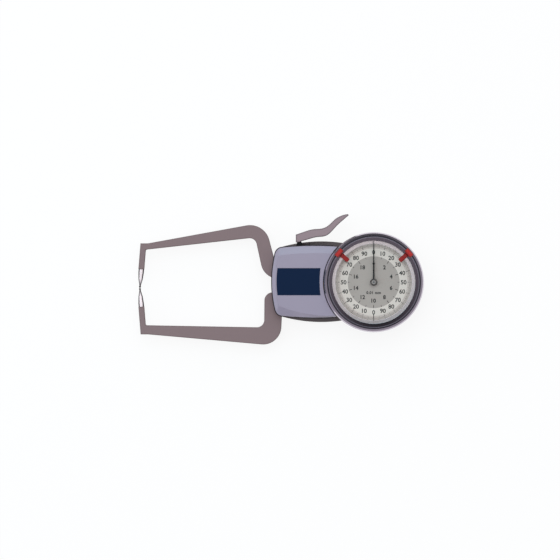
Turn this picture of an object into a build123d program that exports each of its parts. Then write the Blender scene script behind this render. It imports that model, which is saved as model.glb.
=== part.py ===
from build123d import *
import os
from math import acos, atan2, ceil, cos, degrees, hypot, pi, radians, sin, sqrt, tan

# External dial caliper gauge, lying on its back, in millimetres.
# The origin is on the dial's axis, in the plane of the back. +X runs from the contacts
# to the dial, +Y to the side of the lever and +Z out of the dial.

# Reading
measuring_range = 20.0
travel_per_turn = 2.0

# Gear train from the arm to the hands
sector_teeth = 245
sector_pinion_teeth = 10
sector_module = 0.33
transfer_teeth = 112
centre_pinion_teeth = 8
motion_teeth = 35
hour_teeth = 25
spare_teeth = 2
wheel_addendum = 0.9
pinion_addendum = 0.8
gear_dedendum = 1.3
wheel_tooth_share = 0.40
pinion_tooth_share = 0.38
wheel_flank = 20.0
pinion_flank = 12.0
wheel_to_bore = 1.175

# Clearances
press_gap = 0.01
running_gap = 0.04
seat_gap = 0.1
end_play = 0.15
swing_gap = 0.6
turn_gap = 0.4
cover_to_bezel = 0.5
contact_gap = 0.04
cut_past = 1.0

# Arm pivot and arms
pivot_x = -50.0
pivot_y = 0.0
contact_y = -3.9
arm_thickness = 5.0
arm_z = 7.6
arm_edge_chamfer = 0.4
hub_radius = 8.0
limb_width = 3.9
limb_lean = 4.6
contact_length = 12.8
upper_limb_length = 17.6
lower_limb_length = 18.9
upper_knee = (-74.1, 41.0)
upper_knee_radius = 13.6
upper_inner_knee = (-80.5, 30.5)
upper_inner_knee_radius = 4.9
upper_heel = (-75.2, 6.0)
upper_heel_radius = 12.0
lower_knee = (-63.2, -43.6)
lower_knee_radius = 12.5
lower_inner_knee = (-74.4, -30.9)
lower_inner_knee_radius = 5.0
lower_heel = (-74.2, -7.6)
lower_heel_radius = 5.5
limb_top_length = 5.1
upper_inner_corner_drop = 4.3
limb_corner_radius = 1.0
arm_chamfer_start = 8.0
upper_root = (-66.6, 12.6)
fixed_root = [(-62.1, -17.9), (-56.0, -18.2), (-56.0, -13.5), (-60.0, -10.3), (-66.0, -6.6)]
lower_inner_corner_rise = 6.2

# Contacts
contact_base_radius = 1.9
contact_neck_radius = 0.42
contact_ball_radius = 0.7
contact_stud_radius = 0.9
contact_stud_length = 3.2
contact_collar = 2.4
contact_shoulder = 7.0
contact_shoulder_radius = 1.45

# Housing
housing_centre_y = 0.35
housing_left_x = -69.6
housing_corner_x = -66.4
housing_corner_half = 22.6
housing_middle_x = -44.0
housing_middle_half = 27.2
housing_end_x = -19.5
housing_end_half = 26.3
housing_corner_radius = 5.0
widest_z = 8.0
split_z = 17.0
upper_draft = 16.0
lower_draft = 14.0
housing_wall = 2.4
housing_floor = 2.5
back_edge_chamfer = 0.8
mouth_x = -61.8
neck_radius = 32.2
neck_wall = 1.8
case_inset = 0.7
case_step = 0.2
neck_top_z = 21.8
boss_radius = 2.2
outer_screw_places = [(-59.6, 18.4), (-50.5, -20.6)]
inner_screw_levels = [20.6, -19.9]
screw_to_bezel = 2.8
arm_screw_places = [(-63.0, -11.6), (-59.6, -15.6)]
screw_radius = 1.0
screw_head_radius = 1.9
screw_head_depth = 1.9
screw_clearance = 0.12
cover_screw_grip = 2.8
arm_screw_grip = 3.6
screw_slot_width = 0.6
screw_slot_depth = 0.8

# Front cover and name plate
cover_left_inset = 0.6
cover_corner_lap = 0.1
cover_middle_inset = 2.9
cover_end_inset = 3.0
cover_top_z = 22.5
cover_skin = 2.5
lip_over_arm = 1.0
cover_lip_gap = 0.3
cover_edge_fillet = 0.5
crown_drop = 1.5
crown_left_inset = 1.8
crown_left_bow = 2.1
crown_top_inset = 5.0
crown_corner_inset = 6.4
crown_low_inset = 2.1
crown_end_inset = 0.6
crown_corner_radius = 1.5
plate_left_x = -65.3
plate_to_bezel = 1.8
plate_low_y = -8.8
plate_high_y = 9.5
plate_bow = 0.6
plate_thickness = 0.6
plate_proud = 0.1

# Arm shaft, bearings and return spring
shaft_radius = 4.0
journal_radius = 2.5
bearing_radius = 5.5
bearing_height = 3.2
bearing_groove = 0.35
bearing_race_share = 0.3
bearing_z = 3.0
bearing_wall = 1.3
spring_strip = 0.7
spring_pitch = 1.3
spring_half_turns = 5
spring_height = 3.4
spring_pin_radius = 0.8
sector_thickness = 1.0
sector_hub_radius = 6.2
sector_rim = 3.0
sector_spoke = 3.4

# Lever, its stem and seals
stem_x = -50.3
stem_width = 2.6
stem_depth = 2.9
stem_bar_rise = 2.0
slot_margin = 0.5
stem_bar_width = 6.0
lever_overhang = 2.5
lever_foot_drop = 0.35
lever_top_line = [(0, 5.2), (5.9, 7.2), (11.8, 8.8), (16.9, 9.2), (21.1, 10.7),
                  (26.5, 15.5), (31.0, 18.1), (35.5, 19.1)]
lever_low_line = [(35.9, 18.3), (33.2, 16.0), (28.5, 11.8), (25.3, 8.4), (21.9, 5.2),
                  (18.9, 4.0), (15.7, 3.7), (11.3, 2.9), (7.3, 1.7), (4.2, 0.9)]
lever_edge_chamfer = 0.3
lever_z = 10.6
lever_width = 7.8
lever_skin = 1.1
lever_pocket_length = 19.3
grommet_wall = 0.5
grommet_length = 1.5
shutter_to_wall = 2.67
shutter_to_bar = 2.9
slot_seal_thickness = 0.7
slot_seal_overlap = 0.8

# Movement
plate_gap = 3.9
movement_plate = 1.2
lower_plate_z = 8.0
upper_plate_z = 15.8
pillar_radius = 1.6
pillar_inset = 3.3
pillar_angles = [-64.0, 58.0, 151.0]
pillar_step = 0.7
plate_screw_grip = 2.0
plate_screw_head_radius = 1.6
plate_screw_head_height = 1.2
transfer_wheel_z = 11.0
wheel_thickness = 0.8
pinion_face = 1.6
motion_wheel_gap = 0.5
arbor_radius = 0.6
collet_radius = 1.3
hairspring_drop = 1.6
hairspring_strip = 0.22
hairspring_height = 0.8
hairspring_pitch = 1.1
hairspring_half_turns = 6
hairspring_stud = 0.5
wheel_rim = 2.0
wheel_hub_radius = 2.6
wheel_spokes = 4
spoke_width = 1.2

# Dial, hands and bezel
bezel_skirt_wall = 1.66
bezel_web_gap = 0.2
bezel_lip = 0.45
bezel_rim_wall = 2.1
bezel_ridge_width = 0.4
groove_width = 0.9
groove_depth = 0.9
bezel_shoulder_drop = 0.9
bezel_rim_drop = 1.4
bezel_rim_width = 0.8
bezel_slope_drop = 1.9
bezel_over_crystal = 1.6
crystal_ledge = 0.2
crystal_thickness = 1.2
seal_height = 0.9
seal_width = 1.4
carrier_wall = 1.2
dial_thickness = 0.6
dial_gap = 1.1
dial_room = 3.4
carrier_flange = 1.4
carrier_flange_thickness = 0.5
sleeve_radius = 1.25
sleeve_flange = 0.6
hand_gap = 0.7
hand_thickness = 0.3
long_hand_margin = 2.1
long_hand_tail = 1.6
long_hand_width = 1.2
hand_tip_width = 0.5
short_hand_reach = 14.0
short_hand_width = 0.8
short_hand_bulge = 1.7
short_hand_point = 1.2
hub_cap_radius = 2.4
hub_cap_height = 0.9
retaining_ring_thickness = 0.8
retaining_ring_width = 1.0
ring_below_web = 2.8
retaining_ring_gap = 24.0

# Tolerance markers
marker_angle = 50.0
marker_block_width = 6.1
marker_finger_width = 3.0
marker_reach = 22.5
marker_block_length = 3.2
marker_to_rim = 1.4
marker_step = 0.5
marker_height = 1.4
marker_finger_thickness = 0.8
marker_edge = 0.5
marker_tip_radius = 0.9
marker_foot_width = 0.5
marker_gap = 0.15

# Sizes that follow from the ones above
train_ratio = sector_teeth / sector_pinion_teeth * transfer_teeth / centre_pinion_teeth
arm_swing = 360 * measuring_range / travel_per_turn / train_ratio
contact_radius = measuring_range / (2 * sin(radians(arm_swing) / 2))
contact_x = pivot_x - sqrt(contact_radius ** 2 - (contact_y - pivot_y) ** 2)
arm_top_z = arm_z + arm_thickness
lean = tan(radians(limb_lean))
sector_radius = sector_module * sector_teeth / 2
sector_pinion_radius = sector_module * sector_pinion_teeth / 2
arbor_reach = sector_radius + sector_pinion_radius
transfer_reach = (2 * transfer_teeth + centre_pinion_teeth) / 2 + wheel_addendum
transfer_module = (neck_radius - neck_wall - wheel_to_bore) / transfer_reach
centre_distance = transfer_module * (transfer_teeth + centre_pinion_teeth) / 2
motion_module = 2 * centre_distance / (motion_teeth + hour_teeth)
pivot_to_dial = hypot(pivot_x, pivot_y)
dial_bearing = degrees(atan2(-pivot_y, -pivot_x))
arbor_square = arbor_reach ** 2 + pivot_to_dial ** 2 - centre_distance ** 2
arbor_cosine = arbor_square / (2 * arbor_reach * pivot_to_dial)
mesh_angle = dial_bearing - degrees(acos(arbor_cosine))
arbor_x = pivot_x + arbor_reach * cos(radians(mesh_angle))
arbor_y = pivot_y + arbor_reach * sin(radians(mesh_angle))
centre_angle = degrees(atan2(-arbor_y, -arbor_x))
front_inset = (split_z - widest_z) * tan(radians(upper_draft))
wall_y = housing_centre_y + housing_middle_half
cover_corner_half = housing_corner_half + cover_corner_lap
cover_middle_half = housing_middle_half - cover_middle_inset
cover_end_half = housing_end_half - cover_end_inset
cover_lip_z = arm_top_z + lip_over_arm
crown_z = cover_top_z - crown_drop
bezel_radius = neck_radius + running_gap + bezel_skirt_wall
case_radius = bezel_radius - case_inset
case_bore_radius = neck_radius - neck_wall
carrier_radius = case_bore_radius - turn_gap
dial_radius = carrier_radius - carrier_wall
crystal_radius = carrier_radius - crystal_ledge
bezel_opening = crystal_radius - bezel_over_crystal
groove_outer_radius = bezel_radius - bezel_rim_wall
groove_inner_radius = groove_outer_radius - groove_width
bezel_ridge_radius = groove_inner_radius - bezel_ridge_width
plate_right_x = -(bezel_radius + cover_to_bezel + plate_to_bezel)
inner_screw_radius = bezel_radius + cover_to_bezel + screw_to_bezel
cover_screw_places = outer_screw_places + [
    (-sqrt(inner_screw_radius ** 2 - level ** 2), level) for level in inner_screw_levels
]
plate_radius = case_bore_radius - plate_gap
pillar_ring_radius = plate_radius - pillar_inset
motion_wheel_z = upper_plate_z + movement_plate + motion_wheel_gap
hairspring_z = upper_plate_z - hairspring_drop
dial_z = motion_wheel_z + wheel_thickness + dial_gap
dial_top_z = dial_z + dial_thickness
short_hand_z = dial_top_z + hand_gap
long_hand_z = short_hand_z + hand_thickness + hand_gap
long_hand_reach = dial_radius - long_hand_margin
slot_seal_radius = wall_y - housing_wall - front_inset - shutter_to_wall
stem_low_y = slot_seal_radius - shutter_to_bar
lever_left_x = stem_x - lever_overhang
lever_foot_y = wall_y - lever_foot_drop
lever_top_points = [(lever_left_x + x, lever_foot_y + y) for x, y in lever_top_line]
lever_low_points = [(lever_left_x + x, lever_foot_y + y) for x, y in lever_low_line]
lever_pocket_end_x = lever_left_x + lever_pocket_length
grommet_high_y = lever_foot_y - seat_gap
grommet_low_y = grommet_high_y - grommet_length
sector_z = arm_top_z
sector_pinion_z = sector_z + sector_thickness / 2 - pinion_face / 2
centre_pinion_z = transfer_wheel_z + wheel_thickness / 2 - pinion_face / 2
lower_bearing_z = bearing_z
shaft_shoulder_z = lower_bearing_z + bearing_height + end_play
shaft_top_shoulder_z = sector_z + sector_thickness
upper_bearing_z = shaft_top_shoulder_z + end_play
bezel_skirt_z = split_z + case_step + turn_gap
bezel_web_z = neck_top_z + bezel_web_gap
retaining_ring_z = bezel_web_z - ring_below_web
crystal_z = dial_top_z + dial_room
lip_z = crystal_z + crystal_thickness + seat_gap / 2
seal_z = crystal_z - seat_gap / 2 - seal_height
carrier_top_z = seal_z - seat_gap / 2
bezel_top_z = lip_z + bezel_lip + bezel_slope_drop
groove_floor_z = bezel_top_z - groove_depth
marker_outer_radius = bezel_radius - marker_to_rim
marker_block_inner = marker_outer_radius - marker_block_length
shoulder_radius = bezel_radius - bezel_rim_width
shoulder_z = bezel_top_z - bezel_shoulder_drop
shoulder_slope = bezel_shoulder_drop / (shoulder_radius - groove_outer_radius)
hour_wheel_z = motion_wheel_z
stem_swing = (housing_middle_half - pivot_y) * sin(radians(arm_swing))
slot_low_x = stem_x - stem_width / 2 - grommet_wall - slot_margin
slot_high_x = stem_x + stem_width / 2 + grommet_wall + slot_margin + stem_swing
stem_z = lever_z + lever_skin
stem_high_y = lever_top_points[0][1] - lever_skin - seat_gap
shutter_low_angle = 90 - degrees((slot_high_x - pivot_x) / slot_seal_radius) - slot_seal_overlap
shutter_high_angle = 90 - degrees((slot_low_x - pivot_x) / slot_seal_radius) + slot_seal_overlap + arm_swing
arbor_top_z = motion_wheel_z + wheel_thickness + seat_gap
sleeve_top_z = short_hand_z + hand_thickness + seat_gap
hairspring_first_radius = collet_radius + seat_gap + hairspring_strip / 2
hairspring_end_radius = hairspring_first_radius + hairspring_pitch * (hairspring_half_turns // 2)
hairspring_side = 1 if hairspring_half_turns % 2 == 0 else -1
hairspring_reach = hairspring_end_radius + hairspring_strip / 2 + hairspring_stud + press_gap
hairspring_stud_x = hairspring_side * hairspring_reach
pillar_places = [
    (pillar_ring_radius * cos(radians(angle)), pillar_ring_radius * sin(radians(angle)))
    for angle in pillar_angles
]
tooth_step = 360 / sector_teeth
spring_z = housing_floor + seat_gap
spring_side = 1 if spring_half_turns % 2 == 0 else -1
spring_first_radius = bearing_radius + bearing_wall + seat_gap * 2 + spring_strip / 2
spring_end_radius = spring_first_radius + spring_pitch * (spring_half_turns // 2)
spring_pin_y = pivot_y + spring_end_radius + spring_strip / 2 + spring_pin_radius + seat_gap / 2


os.makedirs("parts", exist_ok=True)


def gear_teeth(teeth, module, addendum, tooth_share, flank, first, last, phase):
    """Corner points of straight flanked teeth number first to last, in order round the gear.
    A tooth's half angle is its share of the pitch, less or more by the flank's slope
    above and below the pitch circle."""
    pitch_radius = module * teeth / 2
    tip_radius = pitch_radius + addendum * module
    root_radius = pitch_radius - gear_dedendum * module
    slope = tan(radians(flank))
    half = pi * tooth_share / teeth
    tip_half = half - (tip_radius - pitch_radius) * slope / tip_radius
    root_half = half + (pitch_radius - root_radius) * slope / root_radius
    corners = [(root_radius, -root_half), (tip_radius, -tip_half),
               (tip_radius, tip_half), (root_radius, root_half)]
    points = []
    for tooth in range(first, last + 1):
        middle = radians(phase) + 2 * pi * tooth / teeth
        for radius, side in corners:
            points.append((radius * cos(middle + side), radius * sin(middle + side)))
    return points


def spiral(first_radius, pitch, strip, half_turns):
    """Closed outline of a flat spiral spring: semicircles about two centres half a pitch apart."""
    def turns(edge):
        arcs = []
        for turn in range(half_turns):
            centre = (pitch / 2 * (turn % 2), 0)
            radius = first_radius + pitch / 2 * turn + edge
            arcs.append(CenterArc(centre, radius, 180 * (turn % 2), 180))
        return arcs
    outer = turns(strip / 2)
    inner = turns(-strip / 2)
    Line(outer[0] @ 0, inner[0] @ 0)
    Line(outer[-1] @ 1, inner[-1] @ 1)


def barrel_face(corner_half, middle_half, end_half, inset, set_back=0.0):
    """Barrel outline of the housing, drawn in by an inset: bowed left end, bulging sides, open to the dial.
    The left end alone may be set back further."""
    left_x = housing_corner_x + inset + set_back
    low_left = (left_x, housing_centre_y - corner_half + inset)
    high_left = (left_x, housing_centre_y + corner_half - inset)
    high_end = (housing_end_x, housing_centre_y + end_half - inset)
    low_end = (housing_end_x, housing_centre_y - end_half + inset)
    with BuildSketch() as face:
        with BuildLine():
            ThreePointArc(low_left, (housing_left_x + inset + set_back, housing_centre_y), high_left)
            ThreePointArc(high_left, (housing_middle_x, housing_centre_y + middle_half - inset), high_end)
            Line(high_end, low_end)
            ThreePointArc(low_end, (housing_middle_x, housing_centre_y - middle_half + inset), low_left)
        make_face()
        fillet(vertices().sort_by(Axis.X)[:2], housing_corner_radius)
    return face.sketch


def label_face(margin):
    """Outline of the name plate: bowed at the left, hollow at the right, where it follows the bezel."""
    middle_y = (plate_low_y + plate_high_y) / 2
    low_y = plate_low_y - margin
    high_y = plate_high_y + margin
    left_x = plate_left_x - margin
    right_x = plate_right_x + margin
    with BuildSketch() as face:
        with BuildLine():
            ThreePointArc((left_x, low_y), (left_x - plate_bow, middle_y), (left_x, high_y))
            Line((left_x, high_y), (right_x, high_y))
            ThreePointArc((right_x, high_y), (right_x - plate_bow, middle_y), (right_x, low_y))
            Line((right_x, low_y), (left_x, low_y))
        make_face()
    return face.sketch


def draft_inset(level):
    """How far the wall leans in at a level, from its widest place to the front and to the back."""
    draft = upper_draft if level > widest_z else lower_draft
    return abs(level - widest_z) * tan(radians(draft))


def housing_face(inset):
    return barrel_face(housing_corner_half, housing_middle_half, housing_end_half, inset)


def cover_face(inset):
    return barrel_face(cover_corner_half, cover_middle_half, cover_end_half, inset, cover_left_inset)


def crown_face():
    """Flat top of the cover: a broad facet falls away from it above, a narrow one at the left and one
    below that narrows towards the dial."""
    left_x = housing_corner_x + crown_left_inset
    low_left = (left_x, housing_centre_y - cover_corner_half + crown_corner_inset)
    high_left = (left_x, housing_centre_y + cover_corner_half - crown_top_inset)
    high_end = (housing_end_x, housing_centre_y + cover_end_half - crown_top_inset)
    low_end = (housing_end_x, housing_centre_y - cover_end_half + crown_end_inset)
    with BuildSketch() as face:
        with BuildLine():
            ThreePointArc(low_left, (left_x - crown_left_bow, housing_centre_y), high_left)
            ThreePointArc(
                high_left,
                (housing_middle_x, housing_centre_y + cover_middle_half - crown_top_inset),
                high_end,
            )
            Line(high_end, low_end)
            ThreePointArc(
                low_end,
                (housing_middle_x, housing_centre_y - cover_middle_half + crown_low_inset),
                low_left,
            )
        make_face()
        fillet(vertices().sort_by(Axis.X)[:2], crown_corner_radius)
    return face.sketch


def ring_profile(inner_radius, outer_radius, low_z, high_z):
    """Rectangle in the XZ plane that revolves into a plain ring."""
    Polyline((inner_radius, low_z), (outer_radius, low_z), (outer_radius, high_z),
             (inner_radius, high_z), close=True)


def spin(profile_points):
    """Closed outline in the XZ plane, for a turned piece."""
    Polyline(*profile_points, close=True)


# Outlines of the two arms. Each limb leans towards the contacts' meeting point.
upper_seat_y = contact_y + contact_length
lower_seat_y = contact_y - contact_length
seat_x = contact_x + contact_length * lean
seat_tilt = limb_width / 2 * lean
upper_limb_top = upper_seat_y + upper_limb_length
lower_limb_low = lower_seat_y - lower_limb_length
upper_outer_corner = (seat_x - limb_width / 2 + upper_limb_length * lean, upper_limb_top)
lower_outer_corner = (seat_x - limb_width / 2 + lower_limb_length * lean, lower_limb_low)
upper_inner_y = upper_limb_top - upper_inner_corner_drop
lower_inner_y = lower_limb_low + lower_inner_corner_rise
upper_inner_corner = (seat_x + limb_width / 2 + (upper_inner_y - upper_seat_y) * lean, upper_inner_y)
lower_inner_corner = (seat_x + limb_width / 2 + (lower_seat_y - lower_inner_y) * lean, lower_inner_y)
arm_middle_z = arm_z + arm_thickness / 2
upper_contact_plane = Plane((seat_x, upper_seat_y, arm_middle_z), z_dir=(-lean, -1, 0))
lower_contact_plane = Plane((seat_x, lower_seat_y, arm_middle_z), z_dir=(-lean, 1, 0))

def corner(place):
    """The corner of the sketch being drawn that lies nearest to a place."""
    return vertices().sort_by_distance((*place, 0))[0]


# Moving arm with its hub and the bar that carries the lever's stem
with BuildPart() as moving_arm:
    with BuildSketch(Plane.XY.offset(arm_z)):
        with BuildLine():
            Polyline(
                (seat_x - limb_width / 2, upper_seat_y + seat_tilt),
                upper_outer_corner,
                (upper_outer_corner[0] + limb_top_length, upper_limb_top),
                upper_knee,
                upper_root,
                (pivot_x, pivot_y + hub_radius * 0.95),
                (pivot_x - hub_radius * 0.95, pivot_y - hub_radius / 4),
                upper_heel,
                upper_inner_knee,
                upper_inner_corner,
                (seat_x + limb_width / 2, upper_seat_y - seat_tilt),
                close=True,
            )
        make_face()
        fillet(corner(upper_knee), upper_knee_radius)
        fillet(corner(upper_inner_knee), upper_inner_knee_radius)
        fillet(corner(upper_heel), upper_heel_radius)
        fillet(corner(upper_inner_corner), limb_corner_radius)
        with Locations((pivot_x, pivot_y)):
            Circle(hub_radius)
        with Locations((stem_x, (pivot_y + stem_low_y) / 2)):
            Rectangle(stem_bar_width, stem_low_y - pivot_y)
    extrude(amount=arm_thickness)
    rim = edges().filter_by(Plane.XY).filter_by(lambda e: e.center().X < mouth_x - arm_chamfer_start)
    chamfer(rim, arm_edge_chamfer)
    with Locations((stem_x, stem_low_y, arm_top_z)):
        Box(stem_bar_width, stem_bar_rise, stem_z + stem_depth - arm_top_z,
            align=(Align.CENTER, Align.MAX, Align.MIN))
    with Locations((pivot_x, pivot_y, arm_top_z)):
        Hole(shaft_radius + press_gap, depth=arm_thickness)
    with Locations((pivot_x, spring_pin_y, arm_top_z)):
        Hole(spring_pin_radius + press_gap, depth=arm_thickness)
    with Locations(upper_contact_plane):
        Hole(contact_stud_radius + press_gap, depth=contact_stud_length + seat_gap)
moving_arm.part.label = "moving_arm"

# Fixed arm, clamped to the floor of the housing by its root
with BuildPart() as fixed_arm:
    with BuildSketch(Plane.XY.offset(arm_z)):
        with BuildLine():
            Polyline(
                (seat_x - limb_width / 2, lower_seat_y - seat_tilt),
                lower_outer_corner,
                (lower_outer_corner[0] + limb_top_length, lower_limb_low),
                lower_knee,
                *fixed_root,
                lower_heel,
                lower_inner_knee,
                lower_inner_corner,
                (seat_x + limb_width / 2, lower_seat_y + seat_tilt),
                close=True,
            )
        make_face()
        fillet(corner(lower_knee), lower_knee_radius)
        fillet(corner(lower_inner_knee), lower_inner_knee_radius)
        fillet(corner(lower_heel), lower_heel_radius)
        fillet(corner(lower_inner_corner), limb_corner_radius)
    extrude(amount=arm_thickness)
    rim = edges().filter_by(Plane.XY).filter_by(lambda e: e.center().X < mouth_x - arm_chamfer_start)
    chamfer(rim, arm_edge_chamfer)
    with Locations(*[Location((x, y, arm_z), (180, 0, 0)) for x, y in arm_screw_places]):
        Hole(screw_radius + press_gap, depth=arm_screw_grip + seat_gap)
    with Locations(lower_contact_plane):
        Hole(contact_stud_radius + press_gap, depth=contact_stud_length + seat_gap)
fixed_arm.part.label = "fixed_arm"


def contact_outline():
    """Half section of a contact: ball tip, slender cone, collar and stud, pointing along +X of the sketch."""
    tip = contact_length - contact_gap / 2
    ball_centre = tip - contact_ball_radius
    lift = sqrt(contact_ball_radius ** 2 - contact_neck_radius ** 2)
    neck = ball_centre - lift
    ball_side = (ball_centre, contact_ball_radius)
    Line((-contact_stud_length, 0), (-contact_stud_length, contact_stud_radius))
    Line((-contact_stud_length, contact_stud_radius), (0, contact_stud_radius))
    Line((0, contact_stud_radius), (0, contact_base_radius))
    Line((0, contact_base_radius), (contact_collar, contact_base_radius))
    Polyline((contact_collar, contact_base_radius), (contact_shoulder, contact_shoulder_radius),
             (neck, contact_neck_radius))
    ThreePointArc((neck, contact_neck_radius), ball_side, (tip, 0))
    Line((tip, 0), (-contact_stud_length, 0))


# Contacts: slender cones with ball tips, screwed into the ends of the arms
with BuildPart() as moving_contact:
    with BuildSketch(Plane(upper_contact_plane.origin, x_dir=upper_contact_plane.z_dir, z_dir=(0, 0, 1))):
        with BuildLine():
            contact_outline()
        make_face()
    revolve(axis=Axis(upper_contact_plane.origin, upper_contact_plane.z_dir))
moving_contact.part.label = "moving_contact"

with BuildPart() as fixed_contact:
    with BuildSketch(Plane(lower_contact_plane.origin, x_dir=lower_contact_plane.z_dir, z_dir=(0, 0, 1))):
        with BuildLine():
            contact_outline()
        make_face()
    revolve(axis=Axis(lower_contact_plane.origin, lower_contact_plane.z_dir))
fixed_contact.part.label = "fixed_contact"


# Shaft of the moving arm: a thick middle with a shoulder and a journal at each end
with BuildPart() as arm_shaft:
    with BuildSketch(Plane((pivot_x, pivot_y, 0), x_dir=(1, 0, 0), z_dir=(0, -1, 0))):
        with BuildLine():
            spin([(0, lower_bearing_z), (journal_radius, lower_bearing_z), (journal_radius, shaft_shoulder_z),
                  (shaft_radius, shaft_shoulder_z), (shaft_radius, shaft_top_shoulder_z),
                  (journal_radius, shaft_top_shoulder_z), (journal_radius, upper_bearing_z + bearing_height),
                  (0, upper_bearing_z + bearing_height)])
        make_face()
    revolve(axis=Axis((pivot_x, pivot_y, 0), (0, 0, 1)))
arm_shaft.part.label = "arm_shaft"


def bearing_outline(low_z):
    """Section of a shielded ball bearing: two races with the shields set back between them."""
    bore = journal_radius + running_gap
    high_z = low_z + bearing_height
    race = (bearing_radius - bore) * bearing_race_share
    inner_race = bore + race
    outer_race = bearing_radius - race
    spin([(bore, low_z), (inner_race, low_z), (inner_race, low_z + bearing_groove),
          (outer_race, low_z + bearing_groove), (outer_race, low_z), (bearing_radius, low_z),
          (bearing_radius, high_z), (outer_race, high_z), (outer_race, high_z - bearing_groove),
          (inner_race, high_z - bearing_groove), (inner_race, high_z), (bore, high_z)])


# Bearings of the arm shaft, one in the floor and one in the front cover
with BuildPart() as lower_bearing:
    with BuildSketch(Plane((pivot_x, pivot_y, 0), x_dir=(1, 0, 0), z_dir=(0, -1, 0))):
        with BuildLine():
            bearing_outline(lower_bearing_z)
        make_face()
    revolve(axis=Axis((pivot_x, pivot_y, 0), (0, 0, 1)))
lower_bearing.part.label = "lower_bearing"

with BuildPart() as upper_bearing:
    with BuildSketch(Plane((pivot_x, pivot_y, 0), x_dir=(1, 0, 0), z_dir=(0, -1, 0))):
        with BuildLine():
            bearing_outline(upper_bearing_z)
        make_face()
    revolve(axis=Axis((pivot_x, pivot_y, 0), (0, 0, 1)))
upper_bearing.part.label = "upper_bearing"

# Return spring: a flat spiral round the lower bearing's boss, hooked on a pin in the moving arm
with BuildPart() as return_spring:
    with BuildSketch(Plane((pivot_x, pivot_y, spring_z), x_dir=(0, spring_side, 0), z_dir=(0, 0, 1))):
        with BuildLine():
            spiral(spring_first_radius, spring_pitch, spring_strip, spring_half_turns)
        make_face()
    extrude(amount=spring_height)
return_spring.part.label = "return_spring"

with BuildPart() as spring_pin:
    with BuildSketch(Plane.XY.offset(spring_z)):
        with Locations((pivot_x, spring_pin_y)):
            Circle(spring_pin_radius)
    extrude(amount=arm_top_z - seat_gap - spring_z)
spring_pin.part.label = "spring_pin"

# Toothed sector on the arm's hub. A tooth stands on the line of centres at rest, and the
# teeth above it come into mesh as the arm opens.
with BuildPart() as sector_gear:
    first_tooth = -spare_teeth
    last_tooth = ceil(arm_swing / tooth_step) + spare_teeth
    rim_radius = sector_radius - gear_dedendum * sector_module - sector_rim
    with BuildSketch(Plane((pivot_x, pivot_y, sector_z))):
        with BuildLine():
            teeth_points = gear_teeth(sector_teeth, sector_module, wheel_addendum, wheel_tooth_share,
                                      wheel_flank, first_tooth, last_tooth, mesh_angle)
            low_side = radians(mesh_angle + (first_tooth - 0.5) * tooth_step)
            high_side = radians(mesh_angle + (last_tooth + 0.5) * tooth_step)
            Polyline((rim_radius * cos(high_side), rim_radius * sin(high_side)), teeth_points[-1])
            Polyline(*teeth_points)
            Polyline(teeth_points[0], (rim_radius * cos(low_side), rim_radius * sin(low_side)))
            middle_side = (low_side + high_side) / 2
            ThreePointArc(
                (rim_radius * cos(low_side), rim_radius * sin(low_side)),
                (rim_radius * cos(middle_side), rim_radius * sin(middle_side)),
                (rim_radius * cos(high_side), rim_radius * sin(high_side)),
            )
        make_face()
        for side, across in ((low_side, sector_spoke), (high_side, -sector_spoke)):
            reach = rim_radius + sector_rim / 2
            outer_end = (reach * cos(side), reach * sin(side))
            with BuildLine():
                Polyline((0, 0), outer_end,
                         (outer_end[0] - across * sin(side), outer_end[1] + across * cos(side)),
                         (-across * sin(side), across * cos(side)), close=True)
            make_face()
        Circle(sector_hub_radius)
    extrude(amount=sector_thickness)
    with Locations((pivot_x, pivot_y, sector_z + sector_thickness)):
        Hole(shaft_radius + press_gap, depth=sector_thickness)
sector_gear.part.label = "sector_gear"


def wheel(teeth, module, phase, hub_bore):
    """Sketch of a spoked gear wheel about its own centre."""
    window_radius = module * teeth / 2 - gear_dedendum * module - wheel_rim
    Polygon(*gear_teeth(teeth, module, wheel_addendum, wheel_tooth_share, wheel_flank, 0, teeth - 1,
                        phase), align=None)
    Circle(window_radius, mode=Mode.SUBTRACT)
    with PolarLocations(window_radius / 2, wheel_spokes):
        Rectangle(window_radius + wheel_rim, spoke_width)
    Circle(wheel_hub_radius)
    Circle(hub_bore, mode=Mode.SUBTRACT)


def pinion(teeth, module, phase):
    """Sketch of a solid pinion, with a gap between two teeth at the phase angle."""
    Polygon(*gear_teeth(teeth, module, pinion_addendum, pinion_tooth_share, pinion_flank, 0, teeth - 1,
                        phase + 180 / teeth), align=None)


# Arbor that the sector drives, with its pinion cut in one piece
with BuildPart() as transfer_arbor:
    with BuildSketch(Plane((arbor_x, arbor_y, lower_plate_z))):
        Circle(arbor_radius)
    extrude(amount=arbor_top_z - lower_plate_z)
    with BuildSketch(Plane((arbor_x, arbor_y, lower_plate_z + movement_plate + end_play))):
        Circle(collet_radius)
    extrude(amount=transfer_wheel_z - lower_plate_z - movement_plate - end_play)
    with BuildSketch(Plane((arbor_x, arbor_y, sector_pinion_z))):
        pinion(sector_pinion_teeth, sector_module, mesh_angle + 180)
    extrude(amount=pinion_face)
transfer_arbor.part.label = "transfer_arbor"

with BuildPart() as transfer_wheel:
    with BuildSketch(Plane((arbor_x, arbor_y, transfer_wheel_z))):
        wheel(transfer_teeth, transfer_module, centre_angle, arbor_radius + press_gap)
    extrude(amount=wheel_thickness)
transfer_wheel.part.label = "transfer_wheel"

# Motion wheels under the dial: the small hand turns once for ten turns of the long one
with BuildPart() as motion_wheel:
    with BuildSketch(Plane((arbor_x, arbor_y, motion_wheel_z))):
        wheel(motion_teeth, motion_module, centre_angle, arbor_radius + press_gap)
    extrude(amount=wheel_thickness)
motion_wheel.part.label = "motion_wheel"

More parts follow.
